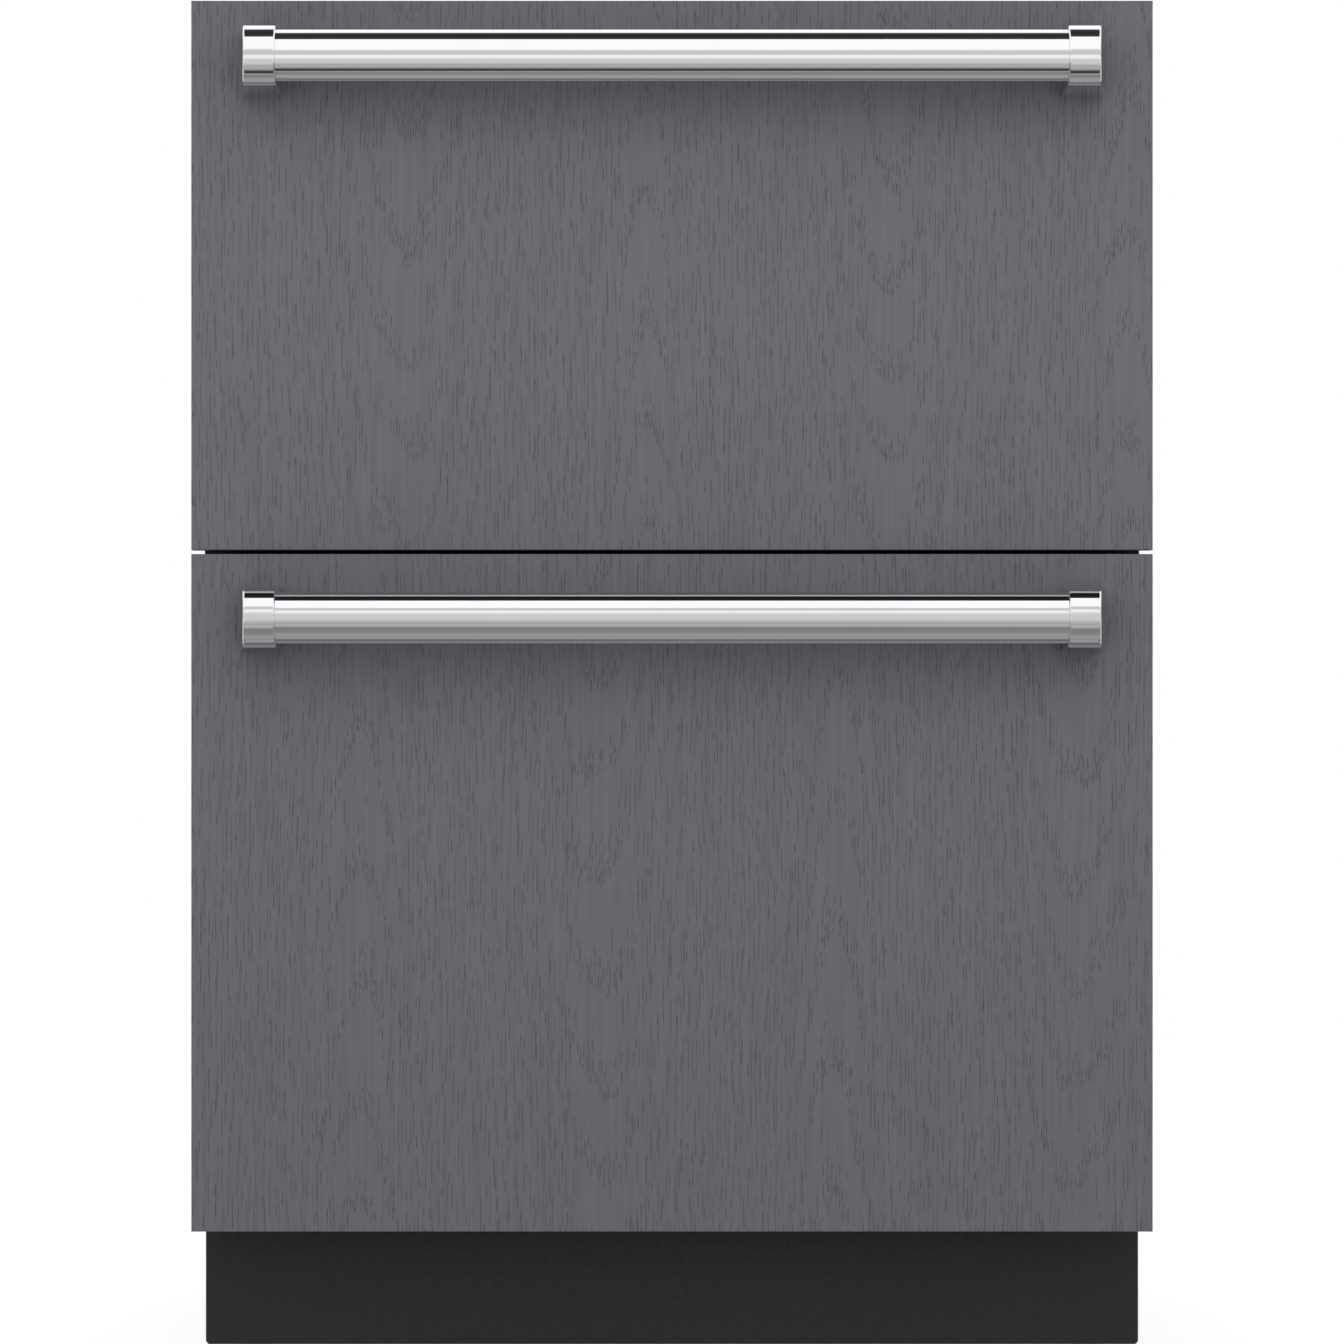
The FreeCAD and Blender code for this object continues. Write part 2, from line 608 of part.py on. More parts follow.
def condenser_fan_blade():
    blade = fan_blade(CONDENSER_FAN_DIAMETER, CONDENSER_FAN_DEPTH, CONDENSER_FAN_HUB, CONDENSER_FAN_SHAFT)
    blade.rotate(Vector(0, 0, 0), AXIS_Y, -90.0)
    blade.translate(Vector(fan_x - FAN_FRAME_THICKNESS / 2, machine_mid_y, fan_mid_z))
    return blade


def evaporator():
    first = -EVAPORATOR_WIDTH / 2
    last = EVAPORATOR_WIDTH / 2 - FIN_THICKNESS
    pieces = []
    for i, x in enumerate(spread(first, last, EVAPORATOR_FINS)):
        rear = cavity_rear if i in (0, EVAPORATOR_FINS - 1) else evaporator_y[1]
        pieces.append(block((x, x + FIN_THICKNESS), (evaporator_y[0], rear), (evaporator_z, evaporator_top)))
    rear_tube_y = evaporator_y[1] - EVAPORATOR_DEPTH / 4
    for y in (evaporator_y[0] + EVAPORATOR_DEPTH / 4, rear_tube_y):
        for z in spread(evaporator_port_z, evaporator_top - COIL_TUBE_EDGE, EVAPORATOR_TUBE_ROWS):
            pieces.append(rod(COIL_TUBE_DIAMETER / 2, (first, y, z), (last, y, z)))
    port_z = evaporator_port_z
    for x, diameter in ((suction_x, SUCTION_DIAMETER), (liquid_x, LIQUID_DIAMETER)):
        pieces.append(rod(diameter / 2, (x, rear_tube_y, port_z), (x, cavity_rear, port_z)))
    return fused(pieces)


def vent_slots(xs, zs, ys):
    """Upright air slots side by side, cut through a sheet."""
    count = int((xs[1] - xs[0]) / VENT_PITCH)
    middle = (xs[0] + xs[1]) / 2
    slots = []
    for i in range(count):
        x = middle + (i - (count - 1) / 2) * VENT_PITCH
        slots.append(block((x - VENT_WIDTH / 2, x + VENT_WIDTH / 2), ys, zs))
    return slots


def evaporator_cover():
    xs = (-cavity_x, cavity_x)
    ys = (cover_y, cover_y + COVER_THICKNESS)
    face = block(xs, ys, (mullion_top, cavity_top))
    shelf = block(xs, (cover_y, cavity_rear), (mullion_top, mullion_top + COVER_THICKNESS))
    fan_radius = EVAPORATOR_FAN_DIAMETER / 2
    fan_zs = (evaporator_fan_z - OUTLET_VENT_HEIGHT / 2, evaporator_fan_z + OUTLET_VENT_HEIGHT / 2)
    outlet = vent_slots((-fan_radius, fan_radius), fan_zs, ys)
    inlet_zs = (evaporator_z, evaporator_z + WINDOW_HEIGHT)
    inlet = vent_slots((-EVAPORATOR_WIDTH / 2, EVAPORATOR_WIDTH / 2), inlet_zs, ys)
    return drilled(fused([face, shelf]), outlet + inlet)


def evaporator_fan_motor():
    z = evaporator_fan_z
    case = rod(EVAPORATOR_MOTOR_DIAMETER / 2, (0, evaporator_motor_y, z), (0, cavity_rear, z))
    shaft_end = evaporator_motor_y - EVAPORATOR_MOTOR_GAP - EVAPORATOR_FAN_DEPTH + 2 * FAN_HUB_END
    shaft = rod(EVAPORATOR_FAN_SHAFT / 2, (0, shaft_end, z), (0, evaporator_motor_y, z))
    return fused([case, shaft])


def evaporator_fan_blade():
    blade = fan_blade(EVAPORATOR_FAN_DIAMETER, EVAPORATOR_FAN_DEPTH, EVAPORATOR_FAN_HUB, EVAPORATOR_FAN_SHAFT)
    blade.rotate(Vector(0, 0, 0), AXIS_X, 90.0)
    blade.translate(Vector(0, evaporator_motor_y - EVAPORATOR_MOTOR_GAP, evaporator_fan_z))
    return blade


def refrigerant_lines():
    gas, liquid = condenser_ports()
    port = compressor_port_z
    rise_x = compressor_port_x + PIPE_RUN
    discharge_points = [
        (compressor_port_x, machine_mid_y, port),
        (rise_x, machine_mid_y, port),
        (rise_x, machine_mid_y, pipe_top_z),
        (rise_x, gas.y, pipe_top_z),
        (gas.x, gas.y, pipe_top_z),
        (gas.x, gas.y, condenser_port_z),
    ]
    suction_points = [
        (suction_x, cavity_rear, evaporator_port_z),
        (suction_x, chase_y, evaporator_port_z),
        (suction_x, chase_y, port),
        (compressor_x, chase_y, port),
        (compressor_x, compressor_port_y, port),
    ]
    drier_x = (liquid.x - PIPE_RUN - DRIER_LENGTH, liquid.x - PIPE_RUN)
    feed_points = [
        (liquid.x, liquid.y, condenser_port_z),
        (liquid.x, liquid.y, pipe_top_z),
        (drier_x[1], liquid.y, pipe_top_z),
    ]
    capillary_points = [
        (drier_x[0], liquid.y, pipe_top_z),
        (liquid_x, liquid.y, pipe_top_z),
        (liquid_x, chase_y, pipe_top_z),
        (liquid_x, chase_y, evaporator_port_z),
        (liquid_x, cavity_rear, evaporator_port_z),
    ]
    drier = rod(DRIER_DIAMETER / 2, (drier_x[0], liquid.y, pipe_top_z), (drier_x[1], liquid.y, pipe_top_z))
    ends = [e for e in drier.Edges if isinstance(e.Curve, Part.Circle)]
    drier = drier.makeFillet(DRIER_END_RADIUS, ends)
    return [
        pipe(discharge_points, LIQUID_DIAMETER),
        pipe(suction_points, SUCTION_DIAMETER),
        pipe(feed_points, LIQUID_DIAMETER),
        drier,
        pipe(capillary_points, LIQUID_DIAMETER),
    ]


def drain_tube():
    """The melt water tube, which lies against the back panel and ends on the rim of the pan."""
    y = rear_y - SHEET - SEAL_GAP - DRAIN_DIAMETER / 2
    points = [
        (chase_x, cavity_rear, evaporator_port_z),
        (chase_x, y, evaporator_port_z),
        (chase_x, y, base_top + PAN_HEIGHT + SEAL_GAP),
    ]
    outer = pipe(points, DRAIN_DIAMETER)
    return outer.cut(pipe(points, DRAIN_DIAMETER - 2 * PAN_WALL))


def condensate_pan():
    ys = (rear_y - SHEET - PAN_DEPTH, rear_y - SHEET)
    top = base_top + PAN_HEIGHT
    tray = block(pan_x, ys, (base_top, top))
    wall = PAN_WALL
    space_ys = (ys[0] + wall, ys[1] - wall)
    return tray.cut(block((pan_x[0] + wall, pan_x[1] - wall), space_ys, (base_top + wall, top)))


inlet_x = INLET_INSET - cabinet_x
inlet_xs = (inlet_x - INLET_WIDTH / 2, inlet_x + INLET_WIDTH / 2)
inlet_top = MACHINE_TOP - SHEET - INLET_HEIGHT / 2
inlet_zs = (inlet_top - INLET_HEIGHT, inlet_top)


def rear_service_cover():
    ys = (rear_y - SHEET, rear_y)
    sheet = block((-inner_x, inner_x), ys, (BASE_CLEARANCE, MACHINE_TOP - SHEET))
    xs = (inlet_xs[1] + REAR_VENT_INLET_GAP, inner_x - REAR_VENT_EDGE)
    vents = []
    for bottom in (REAR_VENT_BOTTOM, REAR_VENT_BOTTOM + REAR_VENT_HEIGHT + REAR_VENT_GAP):
        vents += vent_slots(xs, (bottom, bottom + REAR_VENT_HEIGHT), ys)
    return drilled(sheet, [*vents, block(inlet_xs, ys, inlet_zs)])


def power_inlet():
    ys = (rear_y - INLET_DEPTH, rear_y)
    wall = INLET_WALL
    body = block(inlet_xs, ys, inlet_zs)
    socket_xs = (inlet_xs[0] + wall, inlet_xs[1] - wall)
    socket = block(socket_xs, (ys[0] + wall, ys[1]), (inlet_zs[0] + wall, inlet_zs[1] - wall))
    middle_z = (inlet_zs[0] + inlet_zs[1]) / 2
    half = INLET_PIN_WIDTH / 2
    pins = []
    for x in (inlet_x - INLET_PIN_PITCH, inlet_x, inlet_x + INLET_PIN_PITCH):
        pin_zs = (middle_z - INLET_PIN_WIDTH, middle_z + INLET_PIN_WIDTH)
        pins.append(block((x - half, x + half), (ys[0], ys[1] - wall), pin_zs))
    return fused([body.cut(socket), *pins])


# Controls and lights, under the top wall and under the mullion
control_y = face_y + CONTROL_SETBACK
button_z = cavity_top - CONTROL_HEIGHT / 2


def button_places():
    return {
        "button_power": -BUTTON_PITCH,
        "button_colder": 0.0,
        "button_warmer": BUTTON_PITCH,
    }


def control_housing():
    half = CONTROL_WIDTH / 2
    wall = CONTROL_WALL
    ys = (control_y, control_y + CONTROL_DEPTH)
    zs = (cavity_top - CONTROL_HEIGHT, cavity_top)
    case = block((-half, half), ys, zs)
    front_edges = [e for e in edges_along(case, AXIS_X) if e.CenterOfMass.z < cavity_top - wall]
    case = case.makeFillet(wall, front_edges)
    space = block((-half + wall, half - wall), (ys[0] + wall, ys[1] - wall), (zs[0] + wall, zs[1] - wall))
    bore = BUTTON_DIAMETER / 2 + BUTTON_GAP
    holes = [rod(bore, (x, ys[0], button_z), (x, ys[0] + wall, button_z)) for x in button_places().values()]
    return drilled(case, [space, *holes])


def push_button(x):
    inside_y = control_y + CONTROL_WALL
    front_y = control_y - BUTTON_TRAVEL - BUTTON_REVEAL
    cap = rod(BUTTON_DIAMETER / 2, (x, front_y, button_z), (x, inside_y, button_z))
    rim_radius = BUTTON_DIAMETER / 2 + BUTTON_RIM
    rim = rod(rim_radius, (x, inside_y, button_z), (x, inside_y + BUTTON_RIM, button_z))
    return fused([cap, rim])


def light_bars():
    bars = []
    half = LIGHT_LENGTH / 2
    upper_y = control_y + CONTROL_DEPTH + LIGHT_WIDTH
    lower_y = face_y + MULLION_DEPTH / 2 - LIGHT_WIDTH / 2
    for y, top in ((upper_y, cavity_top), (lower_y, mullion_bottom)):
        bar = block((-half, half), (y, y + LIGHT_WIDTH), (top - LIGHT_HEIGHT, top))
        lower_edges = [e for e in edges_along(bar, AXIS_X) if e.CenterOfMass.z < top - LIGHT_HEIGHT / 2]
        bars.append(bar.makeFillet(LIGHT_EDGE_RADIUS, lower_edges))
    return bars


# Telescopic runners: a fixed outer channel, a middle channel and an inner hat rail on each side
def channel(depths, half_height):
    """A folded channel with returned lips, lying along Y; depths are measured in from the liner wall."""
    near, far = depths
    ys = (slide_front_y, slide_rear_y)
    sheet = SLIDE_SHEET
    body = block((cavity_x - far, cavity_x - near), ys, (-half_height, half_height))
    room_half = half_height - sheet
    room = block((cavity_x - far + sheet, cavity_x - near - sheet), ys, (-room_half, room_half))
    slot_half = half_height - sheet - SLIDE_RETURN
    slot = block((cavity_x - far, cavity_x - far + sheet), ys, (-slot_half, slot_half))
    return drilled(body, [room, slot])


middle_depths = (SLIDE_SHEET + SLIDE_PLAY, SLIDE_DEPTH - SLIDE_SHEET - SLIDE_PLAY)
middle_half = SLIDE_HEIGHT / 2 - SLIDE_SHEET - SLIDE_PLAY
inner_depths = (middle_depths[0] + SLIDE_SHEET + SLIDE_PLAY, middle_depths[1] - SLIDE_SHEET - SLIDE_PLAY)
inner_half = middle_half - SLIDE_SHEET - SLIDE_PLAY
hat_half = middle_half - SLIDE_SHEET - SLIDE_RETURN - SLIDE_PLAY
carrier_x = cavity_x - SLIDE_DEPTH - SLIDE_PROUD


def outer_member():
    return channel((0.0, SLIDE_DEPTH), SLIDE_HEIGHT / 2)


def middle_member():
    return channel(middle_depths, middle_half)


def inner_member():
    ys = (slide_front_y, slide_rear_y)
    brim = block((cavity_x - inner_depths[1], cavity_x - inner_depths[0]), ys, (-inner_half, inner_half))
    hat = block((carrier_x, cavity_x - inner_depths[0]), ys, (-hat_half, hat_half))
    room_half = hat_half - SLIDE_SHEET
    room = block((carrier_x + SLIDE_SHEET, cavity_x - inner_depths[0]), ys, (-room_half, room_half))
    return fused([brim, hat]).cut(room)


# Rack and pinion that keeps the two sides of a drawer level with each other
pitch_radius = GEAR_MODULE * GEAR_TEETH / 2
tip_radius = pitch_radius + GEAR_MODULE
root_radius = pitch_radius - GEAR_DEDENDUM
tooth_pitch = math.pi * GEAR_MODULE
tooth_thickness = tooth_pitch / 2 - GEAR_BACKLASH / 2
shaft_y = slide_rear_y - SHAFT_REAR_INSET
shaft_drop = SLIDE_HEIGHT / 2 + tip_radius + SEAL_GAP
pinion_x = carrier_x + SLIDE_PROUD


def involute(angle):
    return math.tan(angle) - angle


def half_tooth_angle(radius):
    base_radius = pitch_radius * math.cos(GEAR_PRESSURE_ANGLE)
    at_pitch = tooth_thickness / 2 / pitch_radius + involute(GEAR_PRESSURE_ANGLE)
    return at_pitch - involute(math.acos(min(1.0, base_radius / radius)))


def pinion():
    radii = spread(root_radius, tip_radius, FLANK_POINTS)
    points = []
    for tooth in range(GEAR_TEETH):
        middle = 2 * math.pi * tooth / GEAR_TEETH - math.pi / 2
        rising = [(r, middle - half_tooth_angle(r)) for r in radii]
        falling = [(r, middle + half_tooth_angle(r)) for r in reversed(radii)]
        points += [(pinion_x, shaft_y + r * math.cos(a), r * math.sin(a)) for r, a in rising + falling]
    wheel = prism(points, AXIS_X * GEAR_FACE)
    bore = SHAFT_DIAMETER / 2 + RUNNING_GAP
    wheel = wheel.cut(rod(bore, (pinion_x, shaft_y, 0), (pinion_x + GEAR_FACE, shaft_y, 0)))
    wheel.translate(AXIS_Z * -shaft_drop)
    return wheel


def gear_rack():
    front = slide_front_y
    rear = slide_rear_y
    pitch_z = -shaft_drop - pitch_radius
    root_z = pitch_z - GEAR_DEDENDUM
    tip_z = pitch_z + GEAR_MODULE
    slope = math.tan(GEAR_PRESSURE_ANGLE)
    half_root = tooth_thickness / 2 + (pitch_z - root_z) * slope
    half_tip = tooth_thickness / 2 - (tip_z - pitch_z) * slope
    first = math.ceil((front + half_root - shaft_y) / tooth_pitch - 0.5)
    last = math.floor((rear - half_root - shaft_y) / tooth_pitch - 0.5)
    outline = [(front, root_z)]
    for tooth in range(first, last + 1):
        y = shaft_y + (tooth + 0.5) * tooth_pitch
        outline += [(y - half_root, root_z), (y - half_tip, tip_z)]
        outline += [(y + half_tip, tip_z), (y + half_root, root_z)]
    outline += [(rear, root_z), (rear, root_z - RACK_BODY), (front, root_z - RACK_BODY)]
    return prism([(cavity_x - RACK_DEPTH, y, z) for y, z in outline], AXIS_X * RACK_DEPTH)


def sync_shaft():
    reach = pinion_x + GEAR_FACE
    return rod(SHAFT_DIAMETER / 2, (-reach, shaft_y, -shaft_drop), (reach, shaft_y, -shaft_drop))


def carrier():
    """The plate that ties a drawer front to its inner runner and carries the bin's rim and the shaft."""
    top = CARRIER_HEIGHT / 2
    front_bottom = top - CARRIER_FRONT_HEIGHT
    gusset_y = core_back_y + LINER_THICKNESS + CARRIER_GUSSET_LENGTH
    ear_bottom = -shaft_drop - CARRIER_EAR
    ear_front_y = shaft_y - CARRIER_EAR
    outline = [
        (core_back_y + LINER_THICKNESS, front_bottom),
        (core_back_y + LINER_THICKNESS, top),
        (slide_rear_y, top),
        (slide_rear_y, ear_bottom),
        (ear_front_y, ear_bottom),
        (ear_front_y - CARRIER_EAR_SLOPE, -top),
        (gusset_y, -top),
    ]
    x = carrier_x - CARRIER_THICKNESS
    plate = prism([(x, y, z) for y, z in outline], AXIS_X * CARRIER_THICKNESS)
    tab_xs = (carrier_x - CARRIER_TAB, carrier_x)
    tab_ys = (core_back_y + LINER_THICKNESS, core_back_y + LINER_THICKNESS + CARRIER_THICKNESS)
    tab = block(tab_xs, tab_ys, (front_bottom, top))
    hole = rod(SHAFT_DIAMETER / 2 + RUNNING_GAP, (x, shaft_y, -shaft_drop), (carrier_x, shaft_y, -shaft_drop))
    return fused([plate, tab]).cut(hole)


# Drawer fronts: overlay panel, insulated core, inner liner, magnetic seal and handle
def handle_axis(panel_top):
    return panel_y - HANDLE_STANDOFF, panel_top - HANDLE_DROP


def screw_heights(panel_top):
    z = panel_top - HANDLE_DROP
    return z - HANDLE_SCREW_SPACING / 2, z + HANDLE_SCREW_SPACING / 2


post_inner_x = HANDLE_LENGTH / 2 - POST_WIDTH
post_mid_x = HANDLE_LENGTH / 2 - POST_WIDTH / 2


def overlay_panel(bottom, top):
    half = PANEL_WIDTH / 2
    panel = block((-half, half), (panel_y, core_y), (bottom, top))
    front_edges = [e for e in panel.Edges if abs(e.CenterOfMass.y - panel_y) < PANEL_EDGE_RADIUS / 2]
    panel = panel.makeFillet(PANEL_EDGE_RADIUS, front_edges)
    holes = []
    for x in (-post_mid_x, post_mid_x):
        for z in screw_heights(top):
            holes.append(rod(HANDLE_SCREW_DIAMETER / 2 + RUNNING_GAP, (x, panel_y, z), (x, core_y, z)))
            head = SCREW_HEAD_DIAMETER / 2 + RUNNING_GAP
            holes.append(rod(head, (x, core_y - SCREW_HEAD_HEIGHT, z), (x, core_y, z)))
    return drilled(panel, holes)


def handle_screws(top):
    screws = []
    for x in (-post_mid_x, post_mid_x):
        for z in screw_heights(top):
            shank = rod(HANDLE_SCREW_DIAMETER / 2, (x, panel_y - HANDLE_SCREW_REACH, z), (x, core_y, z))
            head = rod(SCREW_HEAD_DIAMETER / 2, (x, core_y - SCREW_HEAD_HEIGHT, z), (x, core_y, z))
            screws.append(fused([shank, head]))
    return screws


def post_side_view(y, z):
    """The post seen from the end: a round nose whose tangents run back to a wider foot on the panel."""
    radius = POST_DIAMETER / 2
    foot_half = radius + POST_FLARE_UP
    to_foot = math.hypot(HANDLE_STANDOFF, foot_half)
    turn = math.atan2(foot_half, HANDLE_STANDOFF) + math.acos(radius / to_foot)
    touch_y = y + radius * math.cos(turn)
    touch_half = radius * math.sin(turn)
    x = post_inner_x
    low_foot = Vector(x, panel_y, z - foot_half)
    high_foot = Vector(x, panel_y, z + foot_half)
    low_touch = Vector(x, touch_y, z - touch_half)
    high_touch = Vector(x, touch_y, z + touch_half)
    outline = [
        Part.LineSegment(low_foot, low_touch),
        Part.Arc(low_touch, Vector(x, y - radius, z), high_touch),
        Part.LineSegment(high_touch, high_foot),
        Part.LineSegment(high_foot, low_foot),
    ]
    return Part.Face(Part.Wire([edge.toShape() for edge in outline]))


def handle_post(top):
    y, z = handle_axis(top)
    tip_y = y - POST_DIAMETER / 2
    outer = post_inner_x + POST_WIDTH
    foot_outer = outer + POST_FLARE_OUT
    post = post_side_view(y, z).extrude(AXIS_X * (POST_WIDTH + POST_FLARE_OUT))
    low = z - POST_DIAMETER
    wedge = [(outer, tip_y, low), (foot_outer, panel_y, low), (foot_outer, tip_y, low)]
    post = post.cut(prism(wedge, AXIS_Z * 2 * POST_DIAMETER))
    rims = []
    for face in post.Faces:
        normal = face.normalAt(0, 0)
        if abs(normal.x) > abs(normal.y) + abs(normal.z):
            rims += [e for e in face.Edges if e.CenterOfMass.y < panel_y - POST_EDGE_RADIUS]
    post = post.makeFillet(POST_EDGE_RADIUS, rims)
    seat_radius = BAR_DIAMETER / 2 + RUNNING_GAP
    seat = rod(seat_radius, (post_inner_x, y, z), (post_inner_x + BAR_SEAT_DEPTH, y, z))
    thread = HANDLE_SCREW_DIAMETER / 2 + RUNNING_GAP
    thread_end_y = panel_y - HANDLE_SCREW_REACH
    tapped = []
    for hole_z in screw_heights(top):
        tapped.append(rod(thread, (post_mid_x, thread_end_y, hole_z), (post_mid_x, panel_y, hole_z)))
    return drilled(post, [seat, *tapped])


def handle_bar(top):
    y, z = handle_axis(top)
    end = post_inner_x + BAR_SEAT_DEPTH
    outer = rod(BAR_DIAMETER / 2, (-end, y, z), (end, y, z))
    return outer.cut(rod(BAR_DIAMETER / 2 - BAR_WALL, (-end, y, z), (end, y, z)))


core_x = cabinet_x - CORE_INSET_SIDE


def front_core(bottom, top):
    return block((-core_x, core_x), (core_y, core_back_y), (bottom, top))


def seal_frame(bottom, top, inset):
    """The width and height range a given distance in from the core's outline."""
    return (-core_x + inset, core_x - inset), (bottom + inset, top - inset)


def front_liner(bottom, top):
    plate_y = core_back_y + LINER_THICKNESS
    xs, zs = seal_frame(bottom, top, GASKET_INSET + GASKET_WIDTH)
    plate = block(xs, (core_back_y, plate_y), zs)
    boss_x = carrier_x - CARRIER_TAB - FRONT_LINER_BOSS_GAP
    boss_zs = (zs[0] + FRONT_LINER_BOSS_INSET, zs[1] - FRONT_LINER_BOSS_INSET)
    boss = block((-boss_x, boss_x), (core_back_y, plate_y + FRONT_LINER_BOSS), boss_zs)
    rear_edges = [e for e in boss.Edges if abs(e.CenterOfMass.y - plate_y - FRONT_LINER_BOSS) < SHEET]
    return fused([plate, boss.makeFillet(FRONT_LINER_BOSS_RADIUS, rear_edges)])


def gasket(bottom, top):
    def ring(inset, width, ys):
        outer = block(*interleave(seal_frame(bottom, top, inset), ys))
        outer = outer.makeFillet(GASKET_CORNER, edges_along(outer, AXIS_Y))
        return outer.cut(block(*interleave(seal_frame(bottom, top, inset + width), ys)))

    def interleave(frame, ys):
        return frame[0], ys, frame[1]

    base_inset = GASKET_INSET + GASKET_WIDTH - GASKET_BASE_WIDTH
    base = ring(base_inset, GASKET_BASE_WIDTH, (core_back_y, core_back_y + GASKET_BASE_DEPTH))
    bulb = ring(GASKET_INSET, GASKET_WIDTH, (core_back_y + GASKET_BASE_DEPTH, face_y - SEAL_GAP))
    return fused([base, bulb])


# Bins: one-piece moulded boxes that hang by their rims on the carriers
bin_x = carrier_x - CARRIER_THICKNESS - BIN_SIDE_GAP
bin_front_y = core_back_y + LINER_THICKNESS + FRONT_LINER_BOSS + BIN_FRONT_GAP
bin_rear_y = shaft_y - SHAFT_DIAMETER / 2 - BIN_REAR_GAP


def rounded_box(half_width, ys, zs, shrink):
    """A box with rounded corners and floor edges, its radii made smaller by the wall on the inside."""
    shape = block((-half_width, half_width), ys, zs)
    shape = shape.makeFillet(BIN_CORNER - shrink, edges_along(shape, AXIS_Z))
    floor_edges = [e for e in shape.Edges if abs(e.BoundBox.ZMax - zs[0]) < RUNNING_GAP]
    return shape.makeFillet(BIN_FLOOR_RADIUS - shrink, floor_edges)


def bin_body(spaces, rim_top):
    """A bin around one or more box-shaped spaces, given as Y and Z ranges of the outside."""
    outsides = []
    insides = []
    wall = BIN_WALL
    for (front, rear), bottom in spaces:
        outsides.append(rounded_box(bin_x, (front, rear), (bottom, rim_top), 0.0))
        inside_ys = (front + wall, rear - wall)
        insides.append(rounded_box(bin_x - wall, inside_ys, (bottom + wall, rim_top), wall))
    front = min(ys[0] for ys, _ in spaces)
    rear = max(ys[1] for ys, _ in spaces)
    rim_ys = (front - wall, rear + wall)
    rim = block((-carrier_x, carrier_x), rim_ys, (rim_top - wall, rim_top))
    rim = rim.makeFillet(BIN_CORNER + wall, edges_along(rim, AXIS_Z))
    return drilled(fused([*outsides, rim]), insides)


def raised(shape, z):
    """A copy of a runner piece lifted to its drawer's runner height."""
    copy = shape.copy()
    copy.translate(AXIS_Z * z)
    return copy


rim_over_carrier = CARRIER_HEIGHT / 2 + BIN_WALL
upper_slide_z = cavity_top - CONTROL_HEIGHT - BIN_TOP_GAP - rim_over_carrier
lower_slide_z = mullion_bottom - LIGHT_HEIGHT - BIN_TOP_GAP / 2 - rim_over_carrier
upper_core = (upper_z + CORE_INSET_END, height - CORE_INSET_TOP)
lower_core = (lower_z + CORE_INSET_END, lower_z + LOWER_PANEL_HEIGHT - CORE_INSET_END)
upper_bin_spaces = [((bin_front_y, bin_rear_y), mullion_top + BIN_FLOOR_GAP)]
lower_bin_spaces = [
    ((bin_front_y, step_y - BIN_REAR_GAP), cavity_floor + BIN_FLOOR_GAP),
    ((bin_front_y, bin_rear_y), step_z + BIN_FLOOR_GAP),
]


def save_drawer(name, panel_zs, core_zs, slide_z, spaces):
    bottom, top = panel_zs
    save(name + "_panel", overlay_panel(bottom, top))
    save(name + "_handle_bar", handle_bar(top))
    save(name + "_handle_posts", *pair(handle_post(top)))
    save(name + "_handle_screws", *handle_screws(top))
    save(name + "_front_core", front_core(*core_zs))
    save(name + "_front_liner", front_liner(*core_zs))
    save(name + "_gasket", gasket(*core_zs))
    save(name + "_carriers", *pair(raised(carrier(), slide_z)))
    save(name + "_bin", bin_body(spaces, slide_z + rim_over_carrier))
    save(name + "_slide_inners", *pair(raised(inner_member(), slide_z)))
    save(name + "_slide_middles", *pair(raised(middle_member(), slide_z)))
    save(name + "_sync_shaft", *[raised(piece, slide_z) for piece in (sync_shaft(), *pair(pinion()))])


def save_cabinet():
    save("side_panel_right", side_panel())
    save("side_panel_left", mirrored(side_panel()))
    save("top_panel", top_panel())
    save("back_panel", back_panel())
    save("machine_bulkhead", machine_bulkhead())
    save("insulation", insulation())
    save("liner", liner())
    save("cross_rails", *cross_rails())
    save("kick_plate", kick_plate())
    save("base_pan", base_pan())
    save("counter_brackets", *pair(counter_bracket()))
    for name, (x, y) in foot_places().items():
        save(name, levelling_foot(x, y))
    runner_heights = (upper_slide_z, lower_slide_z)
    save("slide_outers", *[s for z in runner_heights for s in pair(raised(outer_member(), z))])
    save("sync_racks", *[s for z in runner_heights for s in pair(raised(gear_rack(), z))])


def save_machinery():
    save("compressor", compressor())
    save("compressor_grommets", *compressor_grommets())
    save("condenser", condenser())
    save("condenser_fan_frame", condenser_fan_frame())
    save("condenser_fan_blade", condenser_fan_blade())
    save("evaporator", evaporator())
    save("evaporator_cover", evaporator_cover())
    save("evaporator_fan_motor", evaporator_fan_motor())
    save("evaporator_fan_blade", evaporator_fan_blade())
    save("refrigerant_lines", *refrigerant_lines())
    save("drain_tube", drain_tube())
    save("condensate_pan", condensate_pan())
    save("rear_service_cover", rear_service_cover())
    save("power_inlet", power_inlet())
    save("control_housing", control_housing())
    for name, x in button_places().items():
        save(name, push_button(x))
    save("light_bars", *light_bars())


os.makedirs("parts", exist_ok=True)
save_cabinet()
save_machinery()
save_drawer("upper", (upper_z, height), upper_core, upper_slide_z, upper_bin_spaces)
save_drawer("lower", (lower_z, lower_z + LOWER_PANEL_HEIGHT), lower_core, lower_slide_z, lower_bin_spaces)
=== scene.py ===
import math

